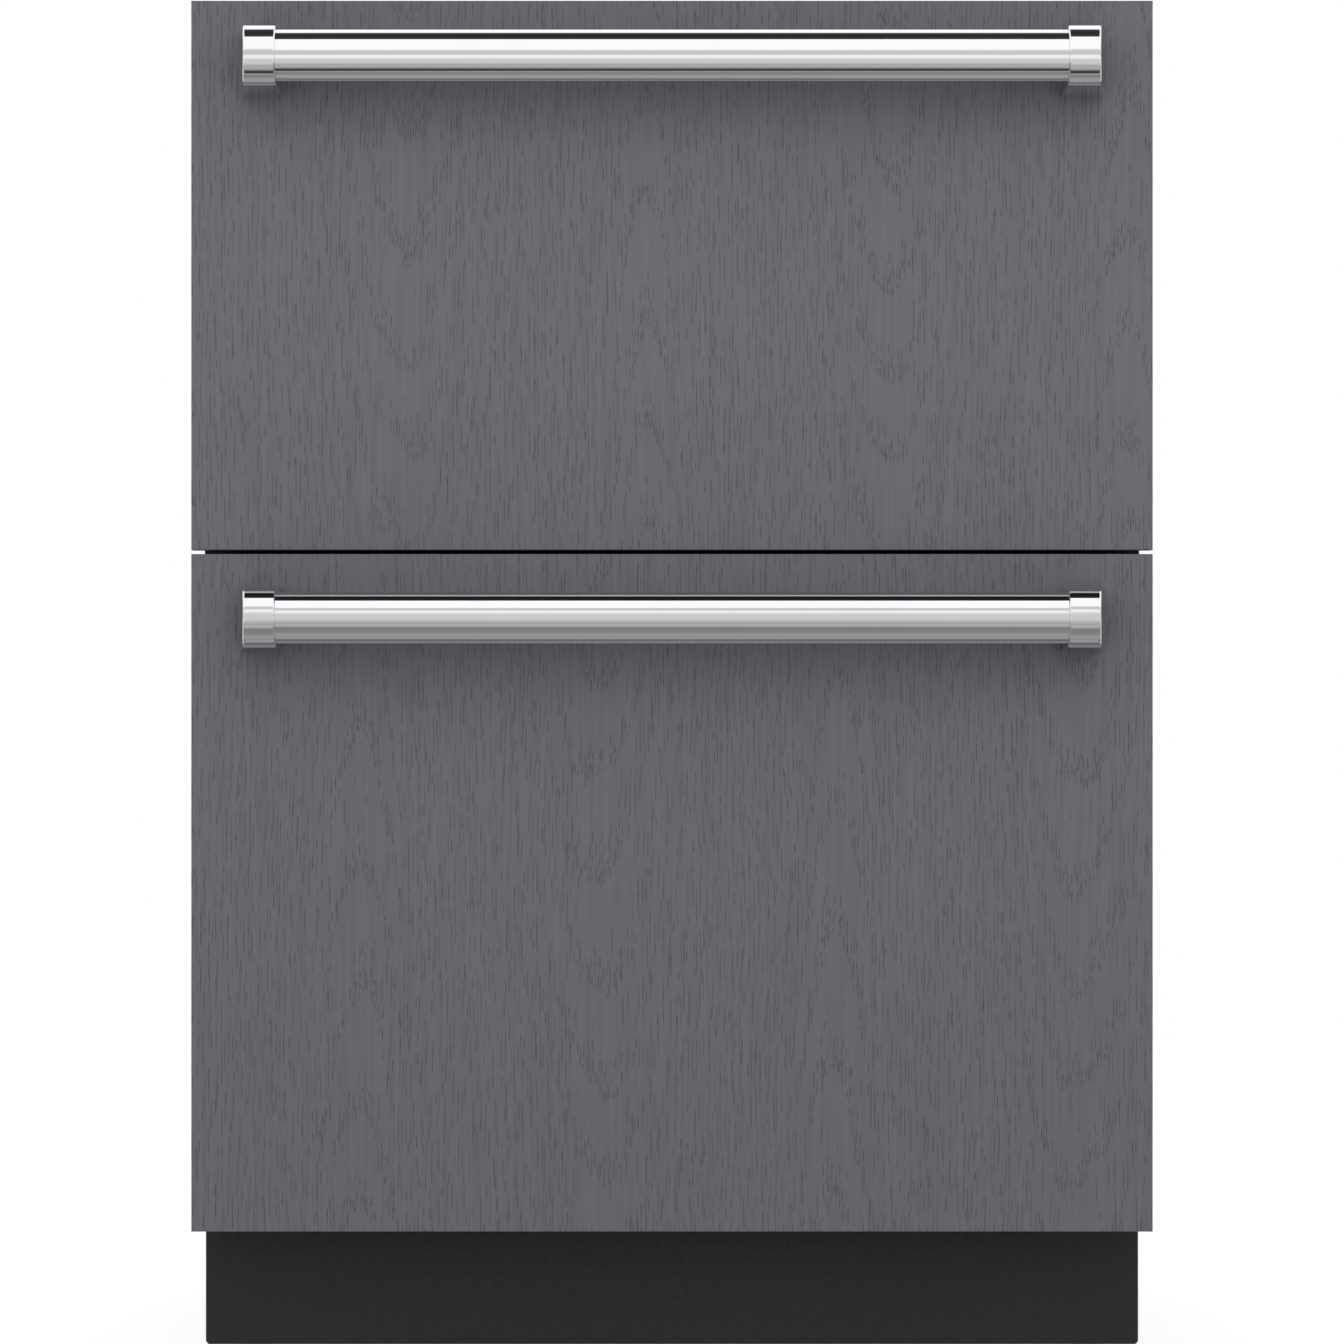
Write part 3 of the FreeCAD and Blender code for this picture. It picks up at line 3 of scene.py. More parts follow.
import bmesh
import bpy
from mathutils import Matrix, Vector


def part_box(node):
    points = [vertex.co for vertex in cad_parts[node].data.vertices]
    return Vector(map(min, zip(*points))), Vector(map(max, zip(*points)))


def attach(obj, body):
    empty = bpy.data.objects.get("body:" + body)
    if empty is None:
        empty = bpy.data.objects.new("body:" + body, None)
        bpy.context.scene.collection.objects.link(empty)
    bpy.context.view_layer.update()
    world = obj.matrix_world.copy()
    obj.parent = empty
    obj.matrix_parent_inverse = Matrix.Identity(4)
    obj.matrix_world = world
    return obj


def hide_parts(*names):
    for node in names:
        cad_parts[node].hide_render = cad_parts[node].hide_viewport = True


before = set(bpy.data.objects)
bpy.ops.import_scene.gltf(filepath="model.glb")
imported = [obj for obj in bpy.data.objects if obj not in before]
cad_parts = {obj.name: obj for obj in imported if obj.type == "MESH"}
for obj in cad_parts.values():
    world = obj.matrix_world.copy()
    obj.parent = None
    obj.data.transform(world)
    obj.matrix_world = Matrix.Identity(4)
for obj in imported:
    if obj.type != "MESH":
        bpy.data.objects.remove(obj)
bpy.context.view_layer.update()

# Base pan, bulkhead, sides, top, service cover and counter brackets: the steel shell of the cabinet.
# Hot-dip galvanised sheet, folded and riveted round the foam, left bare because cabinetry hides it.

SPANGLE_SIZE = 0.008
SHEET_WAVE = 0.06
WAVE_DEPTH = 0.0004
SHEET_ROUGHNESS = (0.38, 0.48)
SHELL_NODES = ("base_pan", "machine_bulkhead", "side_panel_left", "side_panel_right", "top_panel",
               "rear_service_cover", "counter_brackets")


def linear_colour(code):
    """An sRGB hex colour as the linear values that a shader takes."""
    channels = [int(code[i:i + 2], 16) / 255 for i in (1, 3, 5)]
    return (*[c / 12.92 if c <= 0.04045 else ((c + 0.055) / 1.055) ** 2.4 for c in channels], 1.0)


def add_node(tree, kind, inputs=(), **settings):
    """Adds a shader node with its settings and links.

    Its inputs are a list in the order of its sockets, or a dict by their names. An input is a value, another
    node's output, or a whole node, which stands for its first output.
    """
    made = tree.nodes.new("ShaderNode" + kind)
    for name, value in settings.items():
        setattr(made, name, value)
    named = isinstance(inputs, dict)
    sockets = made.inputs if named else [socket for socket in made.inputs if socket.enabled]
    for key, value in inputs.items() if named else enumerate(inputs):
        if isinstance(value, bpy.types.Node):
            value = next(output for output in value.outputs if output.enabled)
        if isinstance(value, bpy.types.NodeSocket):
            tree.links.new(value, sockets[key])
        else:
            sockets[key].default_value = value
    return made


def start_material(name):
    """A new material, its empty node tree, and the place on the piece that its patterns read."""
    material = bpy.data.materials.new(name)
    material.use_nodes = True
    tree = material.node_tree
    tree.nodes.clear()
    return material, tree, add_node(tree, "TexCoord").outputs["Object"]


def dress(material, names):
    """Gives CAD nodes their finish."""
    for name in names:
        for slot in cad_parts[name].material_slots:
            slot.material = material


# Zinc crystals ("spangle") about 8 mm across: each reflects a little differently, on gently wavy sheet.
galvanised, tree, place = start_material("galvanised_steel_sheet")
crystals = add_node(tree, "TexVoronoi", {"Vector": place, "Scale": 1 / SPANGLE_SIZE})
facets = add_node(tree, "SeparateColor", [crystals.outputs["Color"]])
tone = add_node(tree, "Mix", [facets.outputs["Red"], linear_colour("#B0B4B6"), linear_colour("#BDC0C2")],
                data_type="RGBA")
gloss = add_node(tree, "MapRange", [facets.outputs["Green"], 0.0, 1.0, *SHEET_ROUGHNESS])
waves = add_node(tree, "TexNoise", {"Vector": place, "Scale": 1 / SHEET_WAVE})
wavy = add_node(tree, "Bump", {"Height": waves, "Distance": WAVE_DEPTH})
shader = add_node(tree, "BsdfPrincipled", {"Base Color": tone, "Metallic": 1.0, "Roughness": gloss,
                                           "Normal": wavy})
add_node(tree, "OutputMaterial", {"Surface": shader})
dress(galvanised, SHELL_NODES)

# Back panel: one galvanised sheet with three fields pressed outwards to stiffen it against the foam.
# It stands in the recess between the side panels, so the fields and screw heads stay inside the depth.

BACK_FIELDS = 3
FIELD_MARGIN = 0.034
FIELD_SLOPE = 0.009
FIELD_RISE = 0.0022
FIELD_ROUNDING = 0.004
FIELD_FOLD = math.radians(8)
BACK_SHEET = 0.0012
SMOOTH_ANGLE = math.radians(35)
FACING_BACK = (-math.pi / 2, 0, 0)


def start_plate(low, high, y):
    """A flat plate facing the back of the freezer, between two corners given as (x, z), in edit mode."""
    bpy.ops.object.select_all(action="DESELECT")
    middle = ((low[0] + high[0]) / 2, y, (low[1] + high[1]) / 2)
    bpy.ops.mesh.primitive_plane_add(size=1.0, location=middle, rotation=FACING_BACK)
    bpy.context.object.scale = (high[0] - low[0], high[1] - low[1], 1.0)
    bpy.ops.object.transform_apply(location=True, rotation=True, scale=True)
    bpy.ops.object.mode_set(mode="EDIT")
    bpy.ops.mesh.select_all(action="SELECT")
    return bpy.context.object


def use_modifier(piece, kind, **settings):
    """Adds a modifier to a piece and applies it."""
    bpy.context.view_layer.objects.active = piece
    modifier = piece.modifiers.new(kind.title(), kind)
    for name, value in settings.items():
        setattr(modifier, name, value)
    bpy.ops.object.modifier_apply(modifier=modifier.name)


def finish_piece(piece, name, material, body):
    """Names a modelled piece, smooths its soft edges, gives it its finish and lets it ride."""
    bpy.ops.object.select_all(action="DESELECT")
    piece.select_set(True)
    bpy.context.view_layer.objects.active = piece
    bpy.ops.object.shade_smooth_by_angle(angle=SMOOTH_ANGLE)
    piece.name = piece.data.name = name
    piece.data.materials.clear()
    piece.data.materials.append(material)
    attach(piece, body)


back_low, back_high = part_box("back_panel")
back = start_plate((back_low[0], back_low[2]), (back_high[0], back_high[2]), back_high[1])
field_height = (back_high[2] - back_low[2]) / BACK_FIELDS
for row in range(1, BACK_FIELDS):
    bpy.ops.mesh.select_all(action="SELECT")
    bpy.ops.mesh.bisect(plane_co=(0, 0, back_low[2] + row * field_height), plane_no=(0, 0, 1))
bpy.ops.mesh.select_all(action="SELECT")
bpy.ops.mesh.inset(thickness=FIELD_MARGIN, use_individual=True)
bpy.ops.mesh.inset(thickness=FIELD_SLOPE, depth=FIELD_RISE, use_individual=True)
bpy.ops.object.mode_set(mode="OBJECT")
use_modifier(back, "BEVEL", width=FIELD_ROUNDING, segments=3, limit_method="ANGLE", angle_limit=FIELD_FOLD)
use_modifier(back, "SOLIDIFY", thickness=BACK_SHEET, offset=-1.0)
finish_piece(back, "pressed_back_panel", galvanised, "cabinet")
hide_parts("back_panel")

# Back screws: thread-forming steel screws, hexagon heads with a pressed flange and a dished top.
# They hold the service cover over the machinery and the edges of the back panel.

FLANGE_SIDES = 24
FLANGE_RADIUS = 0.0047
FLANGE_HEIGHT = 0.0009
FLANGE_ROUNDING = 0.0005
HEX_RADIUS = 0.0036
HEX_HEIGHT = 0.0026
HEX_RIM = 0.0007
HEX_ROUNDING = 0.0003
DISH_SLOPE = 0.0006
DISH_DEPTH = 0.0005
COVER_SCREW_INSET = 0.011
BACK_SCREW_INSET = 0.012
END_SCREW_X = 0.286
MIDDLE_SCREW_X = 0.095
# A face counts as facing the back or the front when its normal has more than this along Y.
MOSTLY_ALONG = 0.9


def pick_faces(test):
    """Selects the faces of the piece in edit mode whose normal passes a test."""
    bpy.ops.mesh.select_mode(type="FACE")
    bpy.ops.mesh.select_all(action="DESELECT")
    mesh = bmesh.from_edit_mesh(bpy.context.object.data)
    for face in mesh.faces:
        face.select_set(test(face.normal))
    mesh.select_flush_mode()
    bmesh.update_edit_mesh(bpy.context.object.data)


def start_rod(sides, radius, start_y, length):
    """A closed rod along Y, from a place on that axis towards the back."""
    bpy.ops.object.select_all(action="DESELECT")
    bpy.ops.mesh.primitive_cylinder_add(vertices=sides, radius=radius, depth=length,
                                        location=(0, start_y + length / 2, 0), rotation=FACING_BACK)
    bpy.ops.object.transform_apply(location=True, rotation=True, scale=True)
    return bpy.context.object


def join_pieces(pieces):
    """Joins modelled pieces into the first one, with its place in its mesh."""
    bpy.ops.object.select_all(action="DESELECT")
    for piece in pieces:
        piece.select_set(True)
    bpy.context.view_layer.objects.active = pieces[0]
    bpy.ops.object.join()
    bpy.ops.object.transform_apply(location=True, rotation=True, scale=True)
    return pieces[0]


def copy_to(piece, places):
    """Copies a modelled piece, each copy with its own mesh, to several places and joins them."""
    copies = []
    for spot in places:
        twin = piece.copy()
        twin.data = piece.data.copy()
        twin.location = spot
        bpy.context.collection.objects.link(twin)
        copies.append(twin)
    bpy.data.objects.remove(piece)
    return join_pieces(copies)


flange = start_rod(FLANGE_SIDES, FLANGE_RADIUS, 0.0, FLANGE_HEIGHT)
use_modifier(flange, "BEVEL", width=FLANGE_ROUNDING, segments=2, limit_method="ANGLE")
hexagon = start_rod(6, HEX_RADIUS, FLANGE_HEIGHT, HEX_HEIGHT)
bpy.ops.object.mode_set(mode="EDIT")
pick_faces(lambda normal: normal.y > MOSTLY_ALONG)
bpy.ops.mesh.inset(thickness=HEX_RIM, depth=0.0)
bpy.ops.mesh.inset(thickness=DISH_SLOPE, depth=-DISH_DEPTH)
bpy.ops.object.mode_set(mode="OBJECT")
use_modifier(hexagon, "BEVEL", width=HEX_ROUNDING, segments=2, limit_method="ANGLE")

cover_low, cover_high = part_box("rear_service_cover")
end_pair = (-END_SCREW_X, END_SCREW_X)
full_row = (-END_SCREW_X, -MIDDLE_SCREW_X, MIDDLE_SCREW_X, END_SCREW_X)
screw_rows = (
    (cover_low[2] + COVER_SCREW_INSET, full_row),
    (cover_high[2] - COVER_SCREW_INSET, full_row),
    (back_low[2] + BACK_SCREW_INSET, full_row),
    (back_low[2] + field_height, end_pair),
    (back_low[2] + 2 * field_height, end_pair),
    (back_high[2] - BACK_SCREW_INSET, full_row),
)
screw_places = [(x, cover_high[1], z) for z, row in screw_rows for x in row]
back_screws = copy_to(join_pieces([flange, hexagon]), screw_places)

# Bright zinc plate on drawn and rolled steel: fine streaks run the length of the strip. The middle of a
# soft noise's range is what shows, so the gloss is spread over that.
STREAK_WIDTH = 0.0016
STREAK_LENGTH = 0.064
STREAK_DEPTH = 0.00003
SMEAR_SIZE = 0.03
ZINC_ROUGHNESS = (0.24, 0.4)
NOISE_MIDDLE = (0.3, 0.7)
zinc, tree, place = start_material("zinc_plated_steel")
drawn = add_node(tree, "Mapping", {"Vector": place,
                                   "Scale": (1 / STREAK_WIDTH, 1 / STREAK_LENGTH, 1 / STREAK_WIDTH)})
streaks = add_node(tree, "TexNoise", {"Vector": drawn, "Scale": 1.0, "Detail": 3.0})
tone = add_node(tree, "Mix", [streaks, linear_colour("#AEB3B7"), linear_colour("#CDD0D2")], data_type="RGBA")
smears = add_node(tree, "TexNoise", {"Vector": place, "Scale": 1 / SMEAR_SIZE, "Detail": 3.0})
gloss = add_node(tree, "MapRange", [smears, *NOISE_MIDDLE, *ZINC_ROUGHNESS])
streaked = add_node(tree, "Bump", {"Height": streaks, "Distance": STREAK_DEPTH})
shader = add_node(tree, "BsdfPrincipled", {"Base Color": tone, "Metallic": 1.0, "Roughness": gloss,
                                           "Normal": streaked})
add_node(tree, "OutputMaterial", {"Surface": shader})
finish_piece(back_screws, "back_screws", zinc, "cabinet")

# Insulation: polyurethane foam, blown in between shell and liner, where it sets and glues them.
# Pale yellow, with closed cells a millimetre or two across.

CELL_SIZE = 0.0015
CELL_DEPTH = 0.0003
CLOUD_SIZE = 0.03
foam, tree, place = start_material("polyurethane_foam")
clouds = add_node(tree, "TexNoise", {"Vector": place, "Scale": 1 / CLOUD_SIZE})
tone = add_node(tree, "Mix", [clouds, linear_colour("#DCCB95"), linear_colour("#EBE0BB")], data_type="RGBA")
cells = add_node(tree, "TexVoronoi", {"Vector": place, "Scale": 1 / CELL_SIZE})
pitted = add_node(tree, "Bump", {"Height": cells, "Distance": CELL_DEPTH})
shader = add_node(tree, "BsdfPrincipled", {"Base Color": tone, "Roughness": 0.9, "Normal": pitted})
add_node(tree, "OutputMaterial", {"Surface": shader})
dress(foam, ["insulation"])

# Inner liner, evaporator cover, control housing, the drawers' inner liners and the bins.
# White high-impact polystyrene, thermoformed or moulded, with a soft gloss and a slight orange peel.


def mottled_material(name, tone, gloss, relief=None, metallic=0.0, specular=0.5):
    """A material with a mottle of two tones, an uneven gloss and a fine relief.

    The tone starts with two hex colours, the gloss with its lowest and highest roughness and the relief with
    its depth, and each ends with its pattern's size in metres and detail. An even gloss is one number.
    """
    material, tree, place = start_material(name)
    dark, light, size, detail = tone
    patches = add_node(tree, "TexNoise", {"Vector": place, "Scale": 1 / size, "Detail": detail})
    shade = add_node(tree, "Mix", [patches, linear_colour(dark), linear_colour(light)], data_type="RGBA")
    finish = {"Base Color": shade, "Metallic": metallic, "Specular IOR Level": specular}
    if isinstance(gloss, tuple):
        low, high, size, detail = gloss
        smears = add_node(tree, "TexNoise", {"Vector": place, "Scale": 1 / size, "Detail": detail})
        finish["Roughness"] = add_node(tree, "MapRange", [smears, *NOISE_MIDDLE, low, high])
    else:
        finish["Roughness"] = gloss
    if relief:
        depth, size, detail = relief
        lumps = add_node(tree, "TexNoise", {"Vector": place, "Scale": 1 / size, "Detail": detail})
        finish["Normal"] = add_node(tree, "Bump", {"Height": lumps, "Distance": depth})
    shader = add_node(tree, "BsdfPrincipled", finish)
    add_node(tree, "OutputMaterial", {"Surface": shader})
    return material


white_plastic = mottled_material("white_moulded_polystyrene", tone=("#E1E4E5", "#E8EAE9", 0.12, 2.0),
                                 gloss=(0.28, 0.42, 0.01, 3.0), relief=(0.00004, 0.0022, 1.0))
dress(white_plastic, ["liner", "evaporator_cover", "control_housing", "upper_front_liner",
                      "lower_front_liner", "upper_bin", "lower_bin"])

# Kick plate: folded steel, powder coated satin black.
# The coat shows a fine orange peel and hardly any gloss.

powder_coat = mottled_material("satin_black_powder_coat", tone=("#1A1A1B", "#1D1D1E", 0.09, 2.0),
                               gloss=(0.44, 0.58, 0.004, 3.0), relief=(0.00006, 0.0014, 1.0), specular=0.3)
dress(powder_coat, ["kick_plate"])

# Cross rails: the steel mullion and bottom rail that the gaskets close on.
# Folded sheet, black, coloured darker still as painted shade so that the slit between the panels renders
# dark.

shade_black = mottled_material("painted_shade_black", tone=("#080809", "#0B0B0C", 0.05, 2.0), gloss=0.7,
                              relief=(0.00005, 0.0011, 1.0), specular=0.2)
dress(shade_black, ["cross_rails"])

# Mullion shade strip: a black strip with turned edges along the cabinet's face between the two drawer seals,
# from side to side.
# It is painted shade: a near-black sheet where the slit would show lit metal and plastic, so the slit between
# the panels is dark to its ends.

SHADE_STRIP_HALF_LENGTH = 0.2995
SHADE_STRIP_DEPTH = 0.0008
SHADE_STRIP_CROWN = 0.0004
SHADE_STRIP_MARGIN = 0.0008
SHADE_STRIP_EDGE = 0.0012
SHADE_STRIP_ROUNDING = 0.0003
SHADE_STRIP_FOLD = math.radians(15)
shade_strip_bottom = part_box("lower_gasket")[1][2] + SHADE_STRIP_MARGIN
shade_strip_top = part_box("upper_gasket")[0][2] - SHADE_STRIP_MARGIN
face_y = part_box("cross_rails")[0][1]


def thicken(distance):
    """Extrudes the flat piece in edit mode towards the front into a closed body."""
    bpy.ops.mesh.select_all(action="SELECT")
    bpy.ops.mesh.extrude_region_move(TRANSFORM_OT_translate={"value": (0, -distance, 0)})
    bpy.ops.mesh.select_all(action="SELECT")
    bpy.ops.mesh.normals_make_consistent(inside=False)


# Painted shade: a near-black sheet that keeps the slit between the panels dark.
shade_strip = start_plate((-SHADE_STRIP_HALF_LENGTH, shade_strip_bottom), (SHADE_STRIP_HALF_LENGTH, shade_strip_top), face_y)
thicken(SHADE_STRIP_DEPTH)
pick_faces(lambda normal: normal.y < -MOSTLY_ALONG)
bpy.ops.mesh.inset(thickness=SHADE_STRIP_EDGE, depth=SHADE_STRIP_CROWN)
bpy.ops.object.mode_set(mode="OBJECT")
use_modifier(shade_strip, "BEVEL", width=SHADE_STRIP_ROUNDING, segments=2, limit_method="ANGLE", angle_limit=SHADE_STRIP_FOLD)
finish_piece(shade_strip, "mullion_shade_strip", shade_black, "cabinet")

# Levelling feet, runners, carriers, racks, sync shafts and handle screws.
# Rolled, punched and turned steel with the same bright zinc plate as the screws.

dress(zinc, ["foot_front_left", "foot_front_right", "foot_rear_left", "foot_rear_right", "slide_outers",
             "sync_racks"])
for drawer in ("upper", "lower"):
    dress(zinc, [f"{drawer}_slide_inners", f"{drawer}_slide_middles", f"{drawer}_sync_shaft",
                 f"{drawer}_carriers", f"{drawer}_handle_screws"])

# Compressor: two deep-drawn steel shells welded at a seam, dipped in black enamel.
# It stands on rubber grommets on the base pan.

enamel = mottled_material("black_compressor_enamel", tone=("#121315", "#1B1C1F", 0.05, 2.0),
                          gloss=(0.24, 0.42, 0.006, 3.0), relief=(0.00015, 0.003, 2.0))
dress(enamel, ["compressor"])

# Compressor grommets: moulded of the grey rubber that the drawer seals are extruded from.
# The rubber has a dull bloom and a fine tooth.

rubber = mottled_material("grey_seal_rubber", tone=("#55585B", "#63666A", 0.02, 3.0), gloss=0.62,
                          relief=(0.00005, 0.0009, 2.0))
dress(rubber, ["compressor_grommets"])

# Condenser and evaporator: thin aluminium fins pressed on aluminium tube.
# Mill finish, with a slight mottle from the press oil.

aluminium = mottled_material("mill_finish_aluminium", tone=("#B6BBBF", "#D2D5D7", 0.008, 3.0),
                             gloss=(0.28, 0.46, 0.02, 2.0), metallic=1.0)
dress(aluminium, ["condenser", "evaporator"])

# Refrigerant lines and filter drier: drawn copper, bent and brazed.
# Warm, with patches of darker oxide from the brazing torch.

OXIDE_PATCH = 0.03
WIPE_SIZE = 0.02
COPPER_ROUGHNESS = (0.22, 0.44)
copper, tree, place = start_material("drawn_copper_tube")
patches = add_node(tree, "TexNoise", {"Vector": place, "Scale": 1 / OXIDE_PATCH, "Detail": 4.0})
oxide = add_node(tree, "MapRange", [patches, *NOISE_MIDDLE, 0.0, 1.0])
tone = add_node(tree, "Mix", [oxide, linear_colour("#9A5B40"), linear_colour("#CB8661")], data_type="RGBA")
wipes = add_node(tree, "TexNoise", {"Vector": place, "Scale": 1 / WIPE_SIZE, "Detail": 3.0})
gloss = add_node(tree, "MapRange", [wipes, *NOISE_MIDDLE, *COPPER_ROUGHNESS])
shader = add_node(tree, "BsdfPrincipled", {"Base Color": tone, "Metallic": 1.0, "Roughness": gloss})
add_node(tree, "OutputMaterial", {"Surface": shader})
dress(copper, ["refrigerant_lines"])

# Fans, drain tube, condensate pan, power inlet and buttons: moulded plastics, each with a fine mould texture.
# Black glass-filled nylon, grey polypropylene, black thermoplastic and pale ABS.

MOULDINGS = (
    # name, dark and light colour, lowest and highest roughness, CAD nodes
    ("black_fan_nylon", "#1A1B1D", "#222326", 0.42, 0.56,
     ["condenser_fan_frame", "condenser_fan_blade", "evaporator_fan_motor", "evaporator_fan_blade"]),
    ("grey_polypropylene", "#C6C9CA", "#D3D5D6", 0.36, 0.50, ["drain_tube", "condensate_pan"]),
    ("black_inlet_thermoplastic", "#161617", "#1D1D1F", 0.34, 0.48, ["power_inlet"]),
    ("pale_button_plastic", "#C9CCCE", "#D3D6D7", 0.32, 0.46,
     ["button_power", "button_colder", "button_warmer"]),
)
for name, dark, light, shiny, dull, nodes in MOULDINGS:
    moulded = mottled_material(name, tone=(dark, light, 0.012, 3.0), gloss=(shiny, dull, 0.004, 2.0),
                               relief=(0.00005, 0.0008, 1.0))
    dress(moulded, nodes)

# Button marks: a ring, a bar and a cross, raised on the caps so that they can be told apart by touch.
# Dark plastic, moulded in a second shot with the caps.

MARK_HEIGHT = 0.0003
MARK_ROOT = 0.0002
MARK_REACH = 0.0032
MARK_HALF_WIDTH = 0.00045
MARK_ROUNDING = 0.00012
MARK_RING_SIDES = 48
SQUARE_FOLD = math.radians(40)
mark_plastic = mottled_material("dark_mark_plastic", tone=("#373A3D", "#3F4245", 0.003, 2.0), gloss=0.45,
                                relief=(0.00003, 0.0006, 1.0))


def ring_mark(x, y, z):
    """A flat ring round a place, in edit mode."""
    bpy.ops.object.select_all(action="DESELECT")
    bpy.ops.mesh.primitive_circle_add(vertices=MARK_RING_SIDES, radius=MARK_REACH, fill_type="NGON",
                                      location=(x, y, z), rotation=FACING_BACK)
    bpy.ops.object.transform_apply(location=True, rotation=True, scale=True)
    bpy.ops.object.mode_set(mode="EDIT")
    bpy.ops.mesh.select_all(action="SELECT")
    bpy.ops.mesh.inset(thickness=2 * MARK_HALF_WIDTH)
    bpy.ops.mesh.delete(type="FACE")
    return bpy.context.object


def bar_mark(x, y, z):
    """A flat bar across a place, in edit mode."""
    return start_plate((x - MARK_REACH, z - MARK_HALF_WIDTH), (x + MARK_REACH, z + MARK_HALF_WIDTH), y)


def cross_mark(x, y, z):
    """A flat cross round a place, in edit mode: a bar with an arm up and an arm down."""
    mark = bar_mark(x, y, z)
    for side in (-MARK_HALF_WIDTH, MARK_HALF_WIDTH):
        bpy.ops.mesh.select_all(action="SELECT")
        bpy.ops.mesh.bisect(plane_co=(x + side, 0, 0), plane_no=(1, 0, 0))
    for way in (-1, 1):
        bpy.ops.mesh.select_mode(type="EDGE")
        bpy.ops.mesh.select_all(action="DESELECT")
        outline = bmesh.from_edit_mesh(mark.data)
        for edge in outline.edges:
            middle = (edge.verts[0].co + edge.verts[1].co) / 2
            at_side = (middle.z - z) * way > MARK_HALF_WIDTH / 2
            edge.select_set(abs(middle.x - x) < MARK_HALF_WIDTH / 2 and at_side)
        outline.select_flush_mode()
        bmesh.update_edit_mesh(mark.data)
        arm = way * (MARK_REACH - MARK_HALF_WIDTH)
        bpy.ops.mesh.extrude_edges_move(TRANSFORM_OT_translate={"value": (0, 0, arm)})
    return mark


for button, flat_mark in (("button_power", ring_mark), ("button_colder", bar_mark),
                          ("button_warmer", cross_mark)):
    low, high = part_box(button)
    mark = flat_mark((low[0] + high[0]) / 2, low[1] + MARK_ROOT, (low[2] + high[2]) / 2)
    thicken(MARK_ROOT + MARK_HEIGHT)
    bpy.ops.object.mode_set(mode="OBJECT")
    use_modifier(mark, "BEVEL", width=MARK_ROUNDING, segments=2, limit_method="ANGLE",
                 angle_limit=SQUARE_FOLD)
    finish_piece(mark, f"{button}_mark", mark_plastic, button)

# Light bars: frosted acrylic lenses over a strip of lamps, one in the roof and one under the mullion.
# The lamps show as a faint row of brighter spots through the frost.

LAMP_PITCH = 0.02
BANDS_PER_UNIT = 20 / math.tau
FROST_SIZE = 0.0012
FROST_DEPTH = 0.00004
LENS_GLOW = 0.5
lens, tree, place = start_material("frosted_acrylic_lens")
lamp_row = add_node(tree, "TexWave", {"Vector": place, "Scale": 1 / LAMP_PITCH / BANDS_PER_UNIT},
                    bands_direction="X", wave_profile="SIN")
glow = add_node(tree, "Mix", [lamp_row.outputs["Fac"], linear_colour("#D9E0E2"), linear_colour("#FFFFFF")],
                data_type="RGBA")
frost = add_node(tree, "TexNoise", {"Vector": place, "Scale": 1 / FROST_SIZE, "Detail": 1.0})
frosted = add_node(tree, "Bump", {"Height": frost, "Distance": FROST_DEPTH})
shader = add_node(tree, "BsdfPrincipled", {"Base Color": linear_colour("#F1F4F4"), "Roughness": 0.4,
                                           "Emission Color": glow, "Emission Strength": LENS_GLOW,
                                           "Normal": frosted})
add_node(tree, "OutputMaterial", {"Surface": shader})
dress(lens, ["light_bars"])

# Drawer front cores: foam slabs in a black ABS skin, which carries the panel, gasket and carriers.
# Fine leather-grain texture; only their edges show, as the dark line between the panels.

black_skin = mottled_material("black_abs_skin", tone=("#0C0C0D", "#121213", 0.03, 2.0), gloss=0.55,
                              relief=(0.0001, 0.0012, 2.0))
dress(black_skin, ["upper_front_core", "lower_front_core"])

# Drawer seals: extruded grey rubber, mitred and welded at the corners into a frame.
# A root is pushed into the drawer's inner liner, then come a soft fold and the sleeve that holds the magnet.

SEAL_CORNER = 0.0155
SEAL_RINGS = (
    # inset, width, depth from, depth to, edge radius
    (0.0060, 0.0080, 0.0000, 0.0042, 0.0010),
    (0.0035, 0.0065, 0.0036, 0.0064, 0.0012),
    (0.0080, 0.0045, 0.0040, 0.0078, 0.0010),
    (0.0000, 0.0140, 0.0070, 0.0125, 0.0018),
)


def seal_ring(low, high, inset, width, from_depth, to_depth, radius):
    """One closed rubber ring in the seal's box, with rounded corners and edges."""
    ring = start_plate((low[0] + inset, low[2] + inset), (high[0] - inset, high[2] - inset),
                       low[1] + to_depth)
    bpy.ops.mesh.bevel(affect="VERTICES", offset=SEAL_CORNER - inset, segments=6)
    bpy.ops.mesh.inset(thickness=width)
    bpy.ops.mesh.delete(type="FACE")
    thicken(to_depth - from_depth)
    bpy.ops.object.mode_set(mode="OBJECT")
    use_modifier(ring, "BEVEL", width=radius, segments=3, limit_method="ANGLE", angle_limit=SQUARE_FOLD)
    return ring


for drawer in ("upper", "lower"):
    low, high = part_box(f"{drawer}_gasket")
    seal = join_pieces([seal_ring(low, high, *sizes) for sizes in SEAL_RINGS])
    finish_piece(seal, f"{drawer}_drawer_seal", rubber, f"{drawer}_drawer")
    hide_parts(f"{drawer}_gasket")

# Overlay panels: flat-cut oak veneer on board, brushed open and sprayed with grey satin paint.
# The paint hides the wood's colour but sinks into its pores, so the figure shows as dark dashes.

LEAF_WIDTH = 0.3015
RING_RISE = 0.066
RING_SWING = 10.2
ARCH_POINT = 0.12
LOWER_ARCH_X = 0.112
UPPER_ARCH_X = -0.010
PANEL_SPLIT_Z = 0.53
WANDER_WIDTH = 0.07
WANDER_HEIGHT = 0.28
WANDER_RINGS = 2.4
DRIFT_WIDTH = 0.05
DRIFT_HEIGHT = 0.25
DRIFT_REACH = 0.012
RAGGED_SIZE = 0.0022
STAGGER_DASHES = 37.0
PAINT_STREAK_WIDTH = 0.0015
PAINT_STREAK_LENGTH = 0.075
PORE_DEPTH = 0.00012
